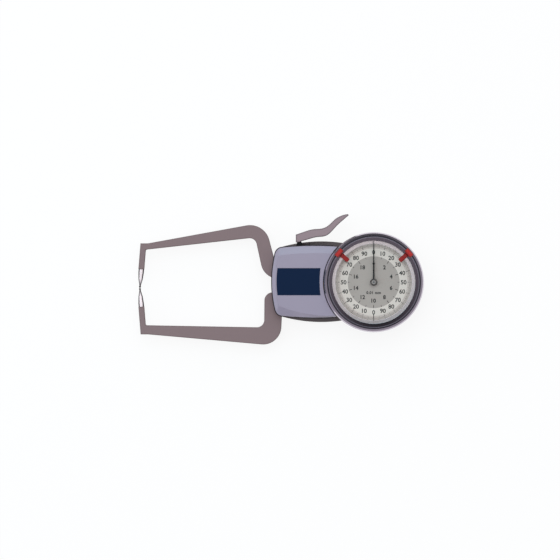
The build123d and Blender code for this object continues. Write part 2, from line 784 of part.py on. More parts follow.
with BuildPart() as hour_wheel:
    with BuildSketch(Plane((0, 0, hour_wheel_z))):
        Polygon(*gear_teeth(hour_teeth, motion_module, wheel_addendum, wheel_tooth_share, wheel_flank,
                            0, hour_teeth - 1, centre_angle + 180 + 180 / hour_teeth), align=None)
    extrude(amount=wheel_thickness)
    with BuildSketch(Plane((0, 0, upper_plate_z + movement_plate + end_play))):
        Circle(sleeve_radius)
    extrude(amount=sleeve_top_z - upper_plate_z - movement_plate - end_play)
    with Locations((0, 0, sleeve_top_z)):
        Hole(arbor_radius + running_gap, depth=sleeve_top_z - upper_plate_z)
hour_wheel.part.label = "hour_wheel"

# Centre arbor with its pinion and the collet of the hairspring
with BuildPart() as centre_arbor:
    with BuildSketch(Plane((0, 0, lower_plate_z))):
        Circle(arbor_radius)
    extrude(amount=long_hand_z + hand_thickness + hub_cap_height - lower_plate_z)
    with BuildSketch(Plane((0, 0, centre_pinion_z))):
        pinion(centre_pinion_teeth, transfer_module, centre_angle + 180)
    extrude(amount=pinion_face)
    with BuildSketch(Plane((0, 0, hairspring_z))):
        Circle(collet_radius)
    extrude(amount=hairspring_height)
centre_arbor.part.label = "centre_arbor"

with BuildPart() as hairspring:
    with BuildSketch(Plane((0, 0, hairspring_z))):
        with BuildLine():
            spiral(hairspring_first_radius, hairspring_pitch, hairspring_strip, hairspring_half_turns)
        make_face()
    extrude(amount=hairspring_height)
hairspring.part.label = "hairspring"


def movement_disc():
    """Round plate of the movement with the holes for the two arbors and the three pillars."""
    Circle(plate_radius)
    Circle(arbor_radius + running_gap, mode=Mode.SUBTRACT)
    with Locations((arbor_x, arbor_y)):
        Circle(arbor_radius + running_gap, mode=Mode.SUBTRACT)


# Movement plates on three pillars that stand on the floor of the housing
with BuildPart() as lower_plate:
    with BuildSketch(Plane.XY.offset(lower_plate_z)):
        movement_disc()
        with Locations(*pillar_places):
            Circle(pillar_radius + press_gap, mode=Mode.SUBTRACT)
    extrude(amount=movement_plate)
lower_plate.part.label = "lower_plate"

with BuildPart() as upper_plate:
    with BuildSketch(Plane.XY.offset(upper_plate_z)):
        movement_disc()
        with Locations(*pillar_places):
            Circle(screw_radius + press_gap, mode=Mode.SUBTRACT)
    extrude(amount=movement_plate)
    with BuildSketch(Plane.XY.offset(hairspring_z)):
        with Locations((hairspring_stud_x, 0)):
            Circle(hairspring_stud)
    extrude(amount=upper_plate_z - hairspring_z)
upper_plate.part.label = "upper_plate"

with BuildPart() as pillars:
    with BuildSketch(Plane.XY.offset(housing_floor)):
        with Locations(*pillar_places):
            Circle(pillar_radius + pillar_step)
    extrude(amount=lower_plate_z - housing_floor)
    with BuildSketch(Plane.XY.offset(lower_plate_z)):
        with Locations(*pillar_places):
            Circle(pillar_radius)
    extrude(amount=upper_plate_z - lower_plate_z)
    with Locations(*[(x, y, upper_plate_z) for x, y in pillar_places]):
        Hole(screw_radius + press_gap, depth=plate_screw_grip + seat_gap)
pillars.part.label = "pillars"


def screw(head_radius, head_height, shank_length):
    """Slotted cheese-head screw whose head stands on the workplane and whose shank points down."""
    Cylinder(head_radius, head_height, align=(Align.CENTER, Align.CENTER, Align.MIN))
    Cylinder(screw_radius, shank_length, align=(Align.CENTER, Align.CENTER, Align.MAX))
    with Locations((0, 0, head_height)):
        Box(2 * head_radius, screw_slot_width, screw_slot_depth,
            align=(Align.CENTER, Align.CENTER, Align.MAX), mode=Mode.SUBTRACT)


with BuildPart(*[Plane((x, y, upper_plate_z + movement_plate)) for x, y in pillar_places]) as plate_screws:
    screw(plate_screw_head_radius, plate_screw_head_height, movement_plate + plate_screw_grip)
plate_screws.part.label = "plate_screws"


def bosses(places, low_z, high_z):
    """Round bosses that rise from one level to another."""
    with Locations(*[(x, y, low_z) for x, y in places]):
        Cylinder(boss_radius, high_z - low_z, align=(Align.CENTER, Align.CENTER, Align.MIN))


def slab(x_range, y_range, z_range, mode=Mode.ADD):
    """Box between two limits along each axis."""
    middle = [(low + high) / 2 for low, high in (x_range, y_range, z_range)]
    with Locations(tuple(middle)):
        Box(x_range[1] - x_range[0], y_range[1] - y_range[0], z_range[1] - z_range[0], mode=mode)


# Rear housing: a barrel that tapers to the front and to the back, joined to the round case
with BuildPart() as rear_housing:
    for level in (0, widest_z, split_z):
        with BuildSketch(Plane.XY.offset(level)):
            add(housing_face(draft_inset(level)))
    loft(ruled=True)
    with Locations((0, 0, 0)):
        Cylinder(case_radius, split_z + case_step, align=(Align.CENTER, Align.CENTER, Align.MIN))
        Cylinder(neck_radius, neck_top_z, align=(Align.CENTER, Align.CENTER, Align.MIN))
    chamfer(faces().sort_by(Axis.Z)[0].edges(), back_edge_chamfer)
    for level in (housing_floor, widest_z, split_z):
        with BuildSketch(Plane.XY.offset(level)):
            add(housing_face(draft_inset(level) + housing_wall))
    loft(ruled=True, mode=Mode.SUBTRACT)
    with Locations((0, 0, housing_floor)):
        Cylinder(case_bore_radius, neck_top_z - housing_floor,
                 align=(Align.CENTER, Align.CENTER, Align.MIN), mode=Mode.SUBTRACT)
    slab((housing_left_x - cut_past, mouth_x),
         (-housing_middle_half - cut_past, housing_middle_half + cut_past),
         (arm_z - swing_gap, split_z), Mode.SUBTRACT)
    slab((slot_low_x, slot_high_x), (pivot_y + slot_seal_radius, wall_y + cut_past),
         (stem_z - slot_margin, stem_z + stem_depth + slot_margin), Mode.SUBTRACT)
    bosses(cover_screw_places, housing_floor, split_z)
    bosses(arm_screw_places, housing_floor, arm_z)
    with Locations((pivot_x, pivot_y, housing_floor)):
        Cylinder(bearing_radius + bearing_wall, bearing_height, align=(Align.CENTER, Align.CENTER, Align.MIN))
    with Locations((pivot_x, pivot_y, housing_floor + bearing_height)):
        Hole(bearing_radius + press_gap, depth=housing_floor + bearing_height - lower_bearing_z)
    with Locations(*[Location((x, y, 0), (180, 0, 0)) for x, y in cover_screw_places + arm_screw_places]):
        CounterBoreHole(screw_radius + screw_clearance, screw_head_radius + screw_clearance,
                        screw_head_depth + screw_clearance, depth=split_z)
    with Locations((0, 0, retaining_ring_z - seat_gap)):
        ring_cut = Cylinder(neck_radius + cut_past, retaining_ring_thickness + 2 * seat_gap,
                            align=(Align.CENTER, Align.CENTER, Align.MIN), mode=Mode.PRIVATE)
        ring_core = Cylinder(neck_radius - retaining_ring_width / 2 - seat_gap,
                             retaining_ring_thickness + 2 * seat_gap,
                             align=(Align.CENTER, Align.CENTER, Align.MIN), mode=Mode.PRIVATE)
    add(ring_cut - ring_core, mode=Mode.SUBTRACT)
rear_housing.part.label = "rear_housing"

# Front cover: a shell with a faceted crown and a lip over the mouth, cut round for the bezel
with BuildPart() as front_cover:
    with BuildSketch(Plane.XY.offset(split_z)):
        add(cover_face(0))
    extrude(amount=crown_z - split_z)
    with BuildSketch(Plane.XY.offset(crown_z)):
        add(cover_face(0))
    with BuildSketch(Plane.XY.offset(cover_top_z)):
        add(crown_face())
    loft(ruled=True)
    fillet(edges().filter_by_position(Axis.Z, crown_z - press_gap, crown_z + press_gap), cover_edge_fillet)
    with Locations((0, 0, split_z)):
        Cylinder(bezel_radius + cover_to_bezel, cover_top_z, align=(Align.CENTER, Align.CENTER, Align.MIN),
                 mode=Mode.SUBTRACT)
    with BuildSketch(Plane.XY.offset(split_z)):
        add(cover_face(housing_wall))
        Circle(bezel_radius + cover_to_bezel + housing_wall, mode=Mode.SUBTRACT)
    extrude(amount=cover_top_z - cover_skin - split_z, mode=Mode.SUBTRACT)
    with BuildSketch(Plane.XY.offset(cover_lip_z)):
        add(cover_face(0))
        add(cover_face(housing_wall), mode=Mode.SUBTRACT)
        with Locations((mouth_x - cover_lip_gap, housing_centre_y)):
            Rectangle(-mouth_x, 4 * cover_middle_half, align=(Align.MIN, Align.CENTER), mode=Mode.SUBTRACT)
    extrude(amount=split_z - cover_lip_z)
    bosses(cover_screw_places, split_z, cover_top_z - cover_skin)
    with Locations((pivot_x, pivot_y, upper_bearing_z)):
        Cylinder(bearing_radius + bearing_wall, cover_top_z - cover_skin - upper_bearing_z,
                 align=(Align.CENTER, Align.CENTER, Align.MIN))
    with Locations(Location((pivot_x, pivot_y, upper_bearing_z), (180, 0, 0))):
        Hole(bearing_radius + press_gap, depth=bearing_height)
    with Locations(*[Location((x, y, split_z), (180, 0, 0)) for x, y in cover_screw_places]):
        Hole(screw_radius + press_gap, depth=cover_screw_grip + seat_gap)
    with BuildSketch(Plane.XY.offset(cover_top_z - plate_thickness + plate_proud)):
        add(label_face(press_gap))
    extrude(amount=plate_thickness, mode=Mode.SUBTRACT)
front_cover.part.label = "front_cover"

# Bare name plate, let into the flat of the cover
with BuildPart() as name_plate:
    with BuildSketch(Plane.XY.offset(cover_top_z - plate_thickness + plate_proud)):
        add(label_face(0))
    extrude(amount=plate_thickness)
name_plate.part.label = "name_plate"


def screw_planes(places):
    """Planes in the counterbores of the back, one for each place, facing out of it."""
    return [Plane((x, y, screw_head_depth), z_dir=(0, 0, -1)) for x, y in places]


# Screws from the back, through the housing into the cover and into the root of the fixed arm
with BuildPart(*screw_planes(cover_screw_places)) as cover_screws:
    screw(screw_head_radius, screw_head_depth - seat_gap, split_z + cover_screw_grip - screw_head_depth)
cover_screws.part.label = "cover_screws"

with BuildPart(*screw_planes(arm_screw_places)) as arm_screws:
    screw(screw_head_radius, screw_head_depth - seat_gap, arm_z + arm_screw_grip - screw_head_depth)
arm_screws.part.label = "arm_screws"

# Stem that stands on the arm's bar and comes out through the slot, with a rubber grommet
with BuildPart() as lever_stem:
    slab((stem_x - stem_width / 2, stem_x + stem_width / 2), (stem_low_y, stem_high_y),
         (stem_z, stem_z + stem_depth))
lever_stem.part.label = "lever_stem"

with BuildPart() as stem_grommet:
    grommet = stem_width / 2 + press_gap
    slab((stem_x - grommet - grommet_wall, stem_x + grommet + grommet_wall), (grommet_low_y, grommet_high_y),
         (stem_z - grommet_wall + press_gap, stem_z + stem_depth + grommet_wall - press_gap))
    slab((stem_x - grommet, stem_x + grommet), (grommet_low_y, grommet_high_y),
         (stem_z - press_gap, stem_z + stem_depth + press_gap), Mode.SUBTRACT)
stem_grommet.part.label = "stem_grommet"

# Curved shutter that closes the slot from inside and slides with the stem
with BuildPart() as slot_shutter:
    with BuildSketch(Plane((pivot_x, pivot_y, stem_z - slot_margin - slot_seal_overlap))):
        with BuildLine():
            CenterArc((0, 0), slot_seal_radius, shutter_low_angle, shutter_high_angle - shutter_low_angle)
            CenterArc((0, 0), slot_seal_radius - slot_seal_thickness, shutter_low_angle,
                      shutter_high_angle - shutter_low_angle)
            for angle in (shutter_low_angle, shutter_high_angle):
                PolarLine((slot_seal_radius * cos(radians(angle)), slot_seal_radius * sin(radians(angle))),
                          slot_seal_thickness, angle + 180)
        make_face()
    extrude(amount=stem_depth + 2 * slot_margin + 2 * slot_seal_overlap)
    slab((stem_x - stem_width / 2 - press_gap, stem_x + stem_width / 2 + press_gap),
         (pivot_y, pivot_y + slot_seal_radius + cut_past),
         (stem_z - press_gap, stem_z + stem_depth + press_gap), Mode.SUBTRACT)
slot_shutter.part.label = "slot_shutter"

# Lever, a pressed channel that thins out into a curved thumb blade
with BuildPart() as lever:
    with BuildSketch(Plane.XY.offset(lever_z)):
        with BuildLine():
            Line((lever_left_x, lever_foot_y), lever_top_points[0])
            Spline(*lever_top_points)
            Line(lever_top_points[-1], lever_low_points[0])
            Spline(*lever_low_points)
            Line(lever_low_points[-1], (lever_left_x + 2 * lever_skin, lever_foot_y))
            Line((lever_left_x + 2 * lever_skin, lever_foot_y), (lever_left_x, lever_foot_y))
        make_face()
    extrude(amount=lever_width)
    chamfer(faces().sort_by(Axis.Z)[-1].outer_wire().edges(), lever_edge_chamfer)
    with BuildSketch(Plane.XY.offset(lever_z + lever_skin)):
        with BuildLine():
            Polyline(
                (lever_left_x + lever_skin, lever_foot_y - cut_past),
                (lever_left_x + lever_skin, lever_top_points[0][1] - lever_skin),
                (lever_top_points[1][0], lever_top_points[1][1] - lever_skin),
                (lever_top_points[2][0], lever_top_points[2][1] - lever_skin),
                (lever_pocket_end_x, lever_top_points[3][1] - 2 * lever_skin),
                (lever_pocket_end_x, lever_foot_y - cut_past),
                close=True,
            )
        make_face()
    extrude(amount=lever_width - 2 * lever_skin, mode=Mode.SUBTRACT)
lever.part.label = "lever"

# Dial plate in its carrier ring, which is pressed into the bezel with the crystal and its seal
with BuildPart() as dial_plate:
    with BuildSketch(Plane.XY.offset(dial_z)):
        Circle(dial_radius)
        Circle(sleeve_radius + turn_gap, mode=Mode.SUBTRACT)
    extrude(amount=dial_thickness)
dial_plate.part.label = "dial_plate"

with BuildPart() as dial_carrier:
    with BuildSketch(Plane.XZ):
        with BuildLine():
            spin([(dial_radius - carrier_flange, dial_z - carrier_flange_thickness),
                  (carrier_radius, dial_z - carrier_flange_thickness), (carrier_radius, carrier_top_z),
                  (dial_radius + press_gap, carrier_top_z), (dial_radius + press_gap, dial_z),
                  (dial_radius - carrier_flange, dial_z)])
        make_face()
    revolve(axis=Axis.Z)
dial_carrier.part.label = "dial_carrier"

with BuildPart() as crystal_seal:
    with BuildSketch(Plane.XZ):
        with BuildLine():
            ring_profile(crystal_radius - seal_width, crystal_radius, seal_z, seal_z + seal_height)
        make_face()
    revolve(axis=Axis.Z)
crystal_seal.part.label = "crystal_seal"

with BuildPart() as crystal:
    with BuildSketch(Plane.XY.offset(crystal_z)):
        Circle(crystal_radius)
    extrude(amount=crystal_thickness)
crystal.part.label = "crystal"

# Bezel: skirt round the case's neck, crest with a groove for the markers, slopes down to rim and crystal
with BuildPart() as bezel_ring:
    with BuildSketch(Plane.XZ):
        with BuildLine():
            skirt_bore = neck_radius + running_gap
            ring_bore = neck_radius + retaining_ring_width / 2 + seat_gap
            ring_low = retaining_ring_z - seat_gap
            ring_high = retaining_ring_z + retaining_ring_thickness + seat_gap
            spin([
                (carrier_radius + press_gap, bezel_web_z), (skirt_bore, bezel_web_z),
                (skirt_bore, ring_high), (ring_bore, ring_high), (ring_bore, ring_low),
                (skirt_bore, ring_low), (skirt_bore, bezel_skirt_z), (bezel_radius, bezel_skirt_z),
                (bezel_radius, shoulder_z - bezel_rim_drop), (shoulder_radius, shoulder_z),
                (groove_outer_radius, bezel_top_z), (groove_outer_radius, groove_floor_z),
                (groove_inner_radius, groove_floor_z), (groove_inner_radius, bezel_top_z),
                (bezel_ridge_radius, bezel_top_z), (bezel_opening, bezel_top_z - bezel_slope_drop),
                (bezel_opening, lip_z), (carrier_radius + press_gap, lip_z),
            ])
        make_face()
    revolve(axis=Axis.Z)
bezel_ring.part.label = "bezel_ring"

# Open snap ring that holds the bezel on the neck
with BuildPart() as retaining_ring:
    with BuildSketch(Plane.XZ):
        with BuildLine():
            ring_profile(neck_radius - retaining_ring_width / 2, neck_radius + retaining_ring_width / 2,
                         retaining_ring_z, retaining_ring_z + retaining_ring_thickness)
        make_face()
    revolve(axis=Axis.Z, revolution_arc=360 - retaining_ring_gap)
retaining_ring.part.label = "retaining_ring"

# Hands, both standing at the top of the dial at rest
with BuildPart() as long_hand:
    with BuildSketch(Plane.XY.offset(long_hand_z)):
        Polygon((-long_hand_width / 2, -long_hand_tail), (long_hand_width / 2, -long_hand_tail),
                (long_hand_width / 2, 0), (hand_tip_width / 2, long_hand_reach),
                (-hand_tip_width / 2, long_hand_reach), (-long_hand_width / 2, 0), align=None)
        Circle(hub_cap_radius - seat_gap)
        Circle(arbor_radius + press_gap, mode=Mode.SUBTRACT)
    extrude(amount=hand_thickness)
long_hand.part.label = "long_hand"

with BuildPart() as hub_cap:
    with BuildSketch(Plane.XY.offset(long_hand_z + hand_thickness)):
        Circle(hub_cap_radius)
        Circle(arbor_radius + press_gap, mode=Mode.SUBTRACT)
    extrude(amount=hub_cap_height)
    chamfer(faces().sort_by(Axis.Z)[-1].outer_wire().edges(), hub_cap_height / 3)
hub_cap.part.label = "hub_cap"

with BuildPart() as short_hand:
    with BuildSketch(Plane.XY.offset(short_hand_z)):
        bulge_y = short_hand_reach - short_hand_point
        Polygon((-short_hand_width / 2, 0), (short_hand_width / 2, 0),
                (short_hand_width / 2, bulge_y - short_hand_point), (short_hand_bulge / 2, bulge_y),
                (0, short_hand_reach), (-short_hand_bulge / 2, bulge_y),
                (-short_hand_width / 2, bulge_y - short_hand_point), align=None)
        Circle(sleeve_radius + sleeve_flange)
        Circle(sleeve_radius + press_gap, mode=Mode.SUBTRACT)
    extrude(amount=hand_thickness)
short_hand.part.label = "short_hand"


def marker_points():
    """Section of a tolerance marker: foot in the groove, block on the ring, finger over the crystal."""
    foot_radius = (groove_inner_radius + groove_outer_radius) / 2
    seat_z = bezel_top_z + marker_gap
    top_z = bezel_top_z + marker_height
    finger_low_z = bezel_top_z - bezel_slope_drop + marker_gap
    finger_radius = bezel_opening - marker_gap
    outer_low_z = seat_z - shoulder_slope * (marker_outer_radius - groove_outer_radius)
    return [
        (marker_reach, finger_low_z), (finger_radius, finger_low_z),
        (bezel_ridge_radius - marker_gap, seat_z), (foot_radius - marker_foot_width / 2, seat_z),
        (foot_radius - marker_foot_width / 2, groove_floor_z + marker_gap),
        (foot_radius + marker_foot_width / 2, groove_floor_z + marker_gap),
        (foot_radius + marker_foot_width / 2, seat_z), (groove_outer_radius, seat_z),
        (marker_outer_radius, outer_low_z),
        (marker_outer_radius, top_z - marker_edge), (marker_outer_radius - marker_edge, top_z),
        (marker_block_inner, top_z),
        (marker_block_inner - marker_step, finger_low_z + marker_finger_thickness),
        (marker_reach, finger_low_z + marker_finger_thickness),
    ]


def marker_plane(angle):
    """Plane through the dial's axis, turned to an angle, with its second axis along +Z."""
    across = (sin(radians(angle)), -cos(radians(angle)), 0)
    return Plane((0, 0, 0), x_dir=(cos(radians(angle)), sin(radians(angle)), 0), z_dir=across)


def trim_finger(angle):
    """Cuts the part inside the block's inner radius down to the finger's width."""
    beside = (marker_finger_width + marker_block_width) / 2
    with Locations(Location((0, 0, 0), (0, 0, angle))):
        for side in (-1, 1):
            with Locations((marker_block_inner / 2, side * beside, 0)):
                Box(marker_block_inner, marker_block_width, 4 * bezel_top_z, mode=Mode.SUBTRACT)
    top = faces().sort_by(Axis.Z)[-1]
    side_length = marker_block_length - marker_edge
    chamfer(top.edges().filter_by(lambda e: abs(e.length - side_length) < press_gap), marker_edge)
    tip = edges().filter_by(Axis.Z).filter_by(
        lambda e: hypot(e.center().X, e.center().Y) < marker_reach + marker_finger_width)
    fillet(tip, marker_tip_radius)


# Tolerance markers, one each side of the top
with BuildPart() as marker_left:
    with BuildSketch(marker_plane(90 + marker_angle)):
        Polygon(*marker_points(), align=None)
    extrude(amount=marker_block_width / 2, both=True)
    trim_finger(90 + marker_angle)
marker_left.part.label = "marker_left"

with BuildPart() as marker_right:
    with BuildSketch(marker_plane(90 - marker_angle)):
        Polygon(*marker_points(), align=None)
    extrude(amount=marker_block_width / 2, both=True)
    trim_finger(90 - marker_angle)
marker_right.part.label = "marker_right"

for piece in (
    rear_housing, front_cover, name_plate, cover_screws, arm_screws, fixed_arm, fixed_contact,
    lower_bearing, upper_bearing, return_spring, lower_plate, upper_plate, pillars, plate_screws,
    hairspring, retaining_ring, moving_arm, moving_contact, arm_shaft, spring_pin, sector_gear,
    lever_stem, stem_grommet, slot_shutter, lever, transfer_arbor, transfer_wheel, motion_wheel,
    hour_wheel, short_hand, centre_arbor, long_hand, hub_cap, bezel_ring, dial_carrier, dial_plate,
    crystal_seal, crystal, marker_left, marker_right,
):
    export_step(piece.part, f"parts/{piece.part.label}.step")
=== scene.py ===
import math

import bpy
import numpy as np
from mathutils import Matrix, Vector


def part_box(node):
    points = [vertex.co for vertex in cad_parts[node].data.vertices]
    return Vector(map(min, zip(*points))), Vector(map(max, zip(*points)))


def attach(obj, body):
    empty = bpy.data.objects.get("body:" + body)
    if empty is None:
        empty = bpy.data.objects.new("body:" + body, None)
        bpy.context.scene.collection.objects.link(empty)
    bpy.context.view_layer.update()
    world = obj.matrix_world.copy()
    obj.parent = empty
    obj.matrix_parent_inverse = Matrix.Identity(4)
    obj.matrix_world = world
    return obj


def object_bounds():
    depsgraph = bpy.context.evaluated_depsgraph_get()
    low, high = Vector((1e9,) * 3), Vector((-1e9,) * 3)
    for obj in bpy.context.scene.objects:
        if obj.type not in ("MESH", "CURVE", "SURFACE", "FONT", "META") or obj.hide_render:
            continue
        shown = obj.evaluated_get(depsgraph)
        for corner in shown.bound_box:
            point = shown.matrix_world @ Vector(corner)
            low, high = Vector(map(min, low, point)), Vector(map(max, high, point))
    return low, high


bl_info = {
    "name": "Dial Caliper Gauge",
    "version": (1, 0, 0),
    "blender": (4, 5, 0),
    "location": "View3D > Sidebar > Gauge",
    "description": "Finishes, dial printing and turned pieces of an external dial caliper gauge",
    "category": "Object",
}

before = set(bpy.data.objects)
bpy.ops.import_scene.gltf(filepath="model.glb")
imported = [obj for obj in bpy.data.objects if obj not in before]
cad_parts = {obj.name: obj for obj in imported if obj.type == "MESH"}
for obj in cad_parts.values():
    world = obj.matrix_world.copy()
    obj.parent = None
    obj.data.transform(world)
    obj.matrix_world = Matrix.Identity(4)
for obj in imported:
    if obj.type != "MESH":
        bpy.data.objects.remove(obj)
CAD_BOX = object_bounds()
MM = 0.001

# Outer radius of the bezel, in millimetres
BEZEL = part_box("bezel_ring")[1].x / MM

# Height of the font's capitals as a share of its size
CAPITALS = 0.70

# How much of its colour a finish keeps on its edges and on its steep sides, which are darkened as painted
# shade
EDGE_KEEPS = 0.25
SIDE_KEEPS = 0.2


# Sizes and colours that a user would change

def linear(red, green, blue):
    """Linear colour of an 8-bit display colour: the display curve's straight toe and its 2.4 power."""
    values = np.array([red, green, blue]) / 255.0
    curve = np.where(values <= 0.04045, values / 12.92, ((values + 0.055) / 1.055) ** 2.4)
    return tuple(float(v) for v in curve)


def length(name, description, millimetres):
    return bpy.props.FloatProperty(name=name, description=description, default=millimetres * MM,
                                   min=0.0, precision=6, unit="LENGTH", subtype="DISTANCE")


def colour(name, description, red, green, blue):
    return bpy.props.FloatVectorProperty(name=name, description=description, size=3, subtype="COLOR",
                                         min=0.0, max=1.0, default=linear(red, green, blue))


def point(name, description, x, y, z):
    return bpy.props.FloatVectorProperty(name=name, description=description, size=3, default=(x, y, z),
                                         unit="LENGTH", subtype="TRANSLATION")


class GaugeDialSettings(bpy.types.PropertyGroup):
    divisions: bpy.props.IntProperty(name="Divisions", description="Graduations round the dial",
                                     default=200, min=20)
    large_numbers: bpy.props.IntProperty(name="Large numbers", description="Large numbers round the dial",
                                         default=20, min=2)
    scale_top: bpy.props.IntProperty(name="Scale top", description="Largest reading of the small hand",
                                     default=20, min=2)
    disc_radius: length("Inner disc", "Radius of the inner grey disc", 17.6)
    ring_radius: length("Number ring", "Outer radius of the pale ring that carries the numbers", 22.9)
    tick_radius: length("Graduations", "Outer radius of the graduations", 26.0)
    number_radius: length("Number circle", "Radius on which the large numbers stand", 20.4)
    number_height: length("Number height", "Height of the large numbers", 2.8)
    small_radius: length("Small number circle", "Radius on which the small hand's numbers stand", 12.5)
    small_height: length("Small number height", "Height of the small hand's numbers", 2.6)
    unit_radius: length("Unit place", "Distance of the unit's lettering from the dial's axis", 7.1)
    unit_height: length("Unit height", "Height of the unit's lettering", 1.8)
    print_depth: length("Print depth", "How far the printing stands on the dial", 0.02)


class GaugeBarSettings(bpy.types.PropertyGroup):
    plain_start: length("Plain start", "Distance of a plain graduation from the number ring", 1.1)
    fifth_start: length("Fifth start", "Distance of every fifth graduation from the ring", 0.6)
    tenth_start: length("Tenth start", "Distance of every tenth graduation from the ring", 0.1)
    plain_width: length("Plain width", "Width of a plain graduation", 0.16)
    fifth_width: length("Fifth width", "Width of every fifth graduation", 0.2)
    tenth_width: length("Tenth width", "Width of every tenth graduation", 0.28)
    even_length: length("Even mark", "Length of the small scale's marks that have a number", 2.1)
    odd_length: length("Odd mark", "Length of the small scale's marks between them", 1.2)
    even_width: length("Even width", "Width of the marks that have a number", 0.36)
    odd_width: length("Odd width", "Width of the marks between them", 0.28)
    index_inner: length("Index start", "Inner radius of the long bar at the dial's foot", 21.9)
    index_outer: length("Index end", "Outer radius of that bar", 28.0)
    index_width: length("Index width", "Width of that bar", 0.5)


class GaugeTrimSettings(bpy.types.PropertyGroup):
    # The seam settings shape a dark bead that paints the shadow in the joint between cover and rear housing
    seam_reach: length("Seam reach", "How far the dark bead stands out from the cover", 0.65)
    seam_sink: length("Seam sink", "How far the bead's back lies inside the cover's side", 0.05)
    seam_rise: length("Seam rise", "Half of the bead's height", 0.4)
    seam_level: length("Seam level", "Height of the joint between cover and rear housing", 17.0)
    seam_end: length("Seam end", "Distance from the dial's axis at which the bead ends", BEZEL + 0.7)
    # Inside this radius the markers are darkened as painted shade
    finger_radius: length("Finger radius", "Radius inside which the markers are a deeper red", BEZEL - 3.6)
    # The radii that follow divide the bezel's bands of painted highlight and painted shade
    slope_radius: length("Slope radius", "Outer radius of the bezel's dark inner slope", BEZEL - 3.5)
    crest_radius: length("Crest radius", "Outer radius of the ridge beside the groove", BEZEL - 3.0)
    groove_radius: length("Groove radius", "Outer radius of the groove in which the markers run", BEZEL - 2.1)
    shoulder_radius: length("Shoulder radius", "Outer radius of the bezel's outer slope", BEZEL - 0.8)
    flange_rise: length("Flange rise", "How far the ring round the graduations rises", 1.1)
    flange_gap: length("Flange gap", "Clearance between the graduations and that ring", 0.2)
    flange_inset: length("Flange inset", "Distance of that ring's outer edge from the dial's", 0.4)
    flange_land: length("Flange land", "Width of the ring's flat top", 0.2)
    flange_lift: length("Flange lift", "Clearance between the ring and the dial", 0.02)
    hub_pin: length("Hub pin", "Radius of the arbor's end in the hub", 0.6)
    # The hub's bright face is a painted highlight
    hub_face: length("Hub face", "Radius of the hub's bright face", 1.3)
    hub_edge: length("Hub edge", "Radius at which the hub turns dark", 1.7)


class GaugeColourSettings(bpy.types.PropertyGroup):
    housing: colour("Housing", "Paint of the front cover", 155, 146, 164)
    back: colour("Back", "Paint of the rear housing", 87, 78, 80)
    arms: colour("Arms", "Finish of the two arms", 139, 119, 120)
    label: colour("Label", "Bare name plate", 12, 32, 61)
    lever: colour("Lever", "Finish of the thumb lever", 157, 137, 142)
    # The contact colour is a painted highlight and the flank colour is painted shade
    contact: colour("Contact", "Ground face of the contacts", 255, 238, 239)
    flank: colour("Contact flank", "Dark flanks of the contacts", 60, 50, 52)
    # Bezel colours paint its reflections: the rim and the crest are painted highlights, and the groove and
    # the inner slope are painted shade
    rim: colour("Bezel rim", "Bright outer edge of the bezel", 214, 206, 216)
    shoulder: colour("Bezel shoulder", "Outer slope of the bezel", 142, 136, 148)
    groove: colour("Bezel groove", "Groove in which the markers run", 90, 81, 92)
    crest: colour("Bezel crest", "Ridge between the bezel's two slopes", 165, 158, 171)
    slope: colour("Bezel slope", "Inner slope of the bezel", 92, 86, 96)
    disc: colour("Dial disc", "Inner disc of the dial", 176, 168, 161)
    ring: colour("Dial ring", "Ring that carries the numbers", 225, 217, 208)
    tick_zone: colour("Tick zone", "Ground under the graduations", 206, 195, 187)
    dial_edge: colour("Dial edge", "Outer edge of the dial", 226, 219, 221)
    ink: colour("Ink", "Printing on the dial", 26, 23, 22)
    marker: colour("Marker", "Tolerance markers", 182, 38, 35)
    # Colour of the dark bead that paints the shadow in the joint between cover and rear housing
    seam: colour("Seam", "Dark bead between cover and rear housing", 38, 33, 38)
    rubber: colour("Rubber", "Grommet and crystal seal", 28, 26, 27)
    hand: colour("Hands", "Black hands", 16, 14, 14)


class GaugeStageSettings(bpy.types.PropertyGroup):
    view_x: length("View X", "Distance of the view's middle from the dial, towards the contacts", 63.6)
    view_y: length("View Y", "Height of the view's middle over the dial's axis", 1.5)
    field: length("Field", "Side of the square field of view", 380.8)
    lens: bpy.props.FloatProperty(name="Lens", description="Focal length in millimetres", default=180.0)
    camera_level: length("Camera level", "Height at which the field has its full width", 18.0)
    floor_half: length("Floor", "Half of the floor's side", 6000.0)
    floor_gap: length("Floor gap", "How far the floor lies under the gauge", 0.2)
    aim: point("Aim", "Place at which both lamps point", -0.06, 0.0, 0.01)
    key_place: point("Key place", "Place of the large soft lamp", -0.2, 0.42, 1.55)
    key_size: length("Key size", "Side of the large soft lamp", 1500.0)
    key_power: bpy.props.FloatProperty(name="Key", description="Power of the large soft lamp in watts",
                                       default=13.0, min=0.0)
    side_place: point("Side place", "Place of the weaker lamp at the left", -1.35, -0.1, 0.9)
    side_size: length("Side size", "Side of the weaker lamp", 900.0)
    side_share: bpy.props.FloatProperty(name="Side share", description="Power of the weaker lamp as a "
                                        "share of the large one's", default=0.28, min=0.0)
    world_level: bpy.props.FloatProperty(name="Surround", description="Level of the light from all round",
                                         default=0.62, min=0.0)


# Meshes worked out as whole arrays

def grid_faces(rows, columns, close_rows=False, close_columns=False):
    """Quads between neighbouring points of a grid whose points are numbered row by row. A closed
    direction joins its last line to its first."""
    row = np.arange(rows if close_rows else rows - 1)
    column = np.arange(columns if close_columns else columns - 1)
    a, b = np.meshgrid(row, column, indexing="ij")
    c = (a + 1) % rows
    d = (b + 1) % columns
    return np.stack([a * columns + b, c * columns + b, c * columns + d, a * columns + d], -1).reshape(-1, 4)


